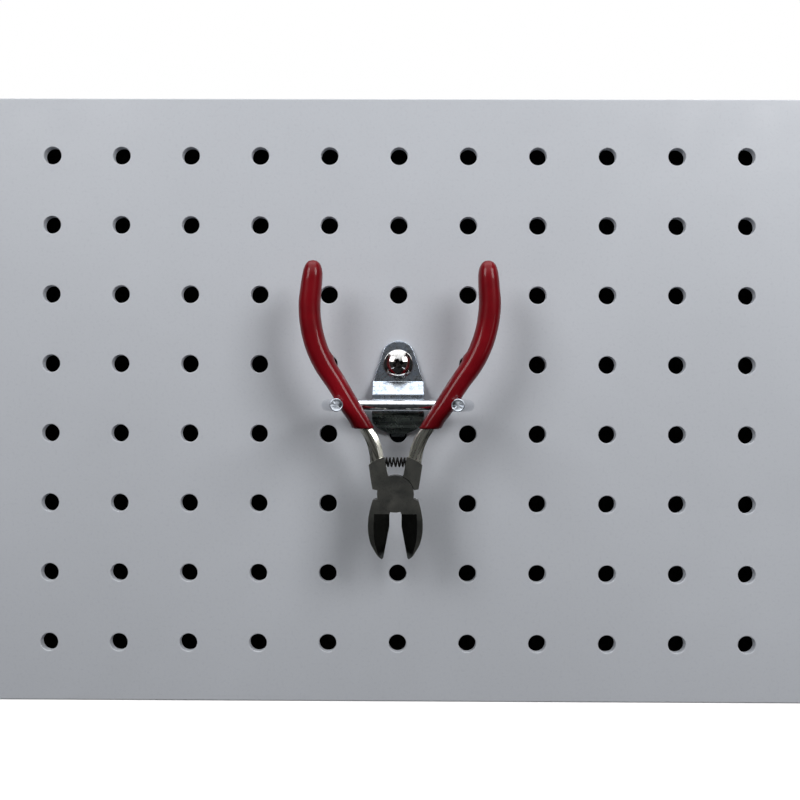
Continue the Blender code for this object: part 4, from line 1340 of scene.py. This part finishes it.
def make_world():
    """A pale studio: white to the camera, and otherwise a bright ceiling over a dim room.

    Reflections see it at its full strength, and matt faces a share of it. The
    ceiling fades out to the left and the right.
    """
    world = bpy.data.worlds.new("studio")
    bpy.context.scene.world = world
    world.use_nodes = True
    tree = world.node_tree
    tree.nodes.clear()

    def value(kind, inputs, **settings):
        return add_node(tree, "ShaderNode" + kind, inputs, **settings).outputs[0]

    direction = add_node(tree, "ShaderNodeTexCoord", {}).outputs["Generated"]
    split = add_node(tree, "ShaderNodeSeparateXYZ", {"Vector": direction}).outputs
    height = value("MapRange", {"Value": split["Z"], "From Min": -1})
    shifted = value("Math", {0: split["X"], 1: 0.08})
    sideways = value("Math", {0: shifted}, operation="ABSOLUTE")
    fade = {"Value": sideways, "From Min": 0.50, "From Max": 0.66, "To Min": 1, "To Max": 0.5}
    lit = value("Math", {0: height, 1: value("MapRange", fade)}, operation="MULTIPLY")
    stops = [(position, (grey * 0.97, grey, grey * 1.02)) for position, grey in CEILING_STOPS]
    ceiling = add_ramp(tree, lit, stops)
    shown = value("Background", {"Color": ceiling, "Strength": AMBIENT_SHARE})
    reflected = value("Background", {"Color": ceiling})
    white = value("Background", {"Color": (1, 1, 1, 1)})
    rays = add_node(tree, "ShaderNodeLightPath", {}).outputs
    for ray, background in (("Is Glossy Ray", reflected), ("Is Camera Ray", white)):
        shown = value("MixShader", {0: rays[ray], 1: shown, 2: background})
    add_node(tree, "ShaderNodeOutputWorld", {"Surface": shown})


def aim(obj, place, target):
    """Stands a light or the camera at a place, looking at a target."""
    obj.location = place
    look = (Vector(target) - Vector(place)).to_track_quat("-Z", "Y")
    obj.rotation_euler = look.to_euler()
    return look


def make_lights():
    """One panel overhead, a soft light at each side, a low one at the right and one behind."""
    for name, place, (width, height), power in LIGHTS:
        light = bpy.data.lights.new(name, "AREA")
        light.shape = "RECTANGLE"
        light.size = width
        light.size_y = height
        light.energy = power
        aim(placed(name, light), FACE_MIDDLE + Vector(place), FACE_MIDDLE)


def make_camera():
    """A level view of the panel's face, as in the photograph."""
    camera = bpy.data.cameras.new("camera")
    camera.sensor_width = 36
    camera.lens = CAMERA_LENS
    camera.clip_start = 0.01
    obj = placed("camera", camera)
    look = aim(obj, FACE_MIDDLE + Vector(CAMERA_PLACE), FACE_MIDDLE + Vector(CAMERA_AIM))
    obj.rotation_euler = (look @ Quaternion((0, 0, 1), CAMERA_ROLL)).to_euler()
    bpy.context.scene.camera = obj
    bpy.context.scene.view_settings.view_transform = "Standard"


bright_screw = screw_zinc_finish()
make_panel(board_finish())
make_frame_rails()
make_back_sheet(shade_backing_finish())
make_fittings(sheet_zinc_finish("zinc_plated_hanger", False), bright_screw)
make_bracket(sheet_zinc_finish("zinc_plated_hook", True))
make_wire(wire_zinc_finish())
make_hook_screw(bright_screw)
make_plug(nylon_finish())
make_side_cutters()
make_floor()
make_world()
make_lights()
make_camera()
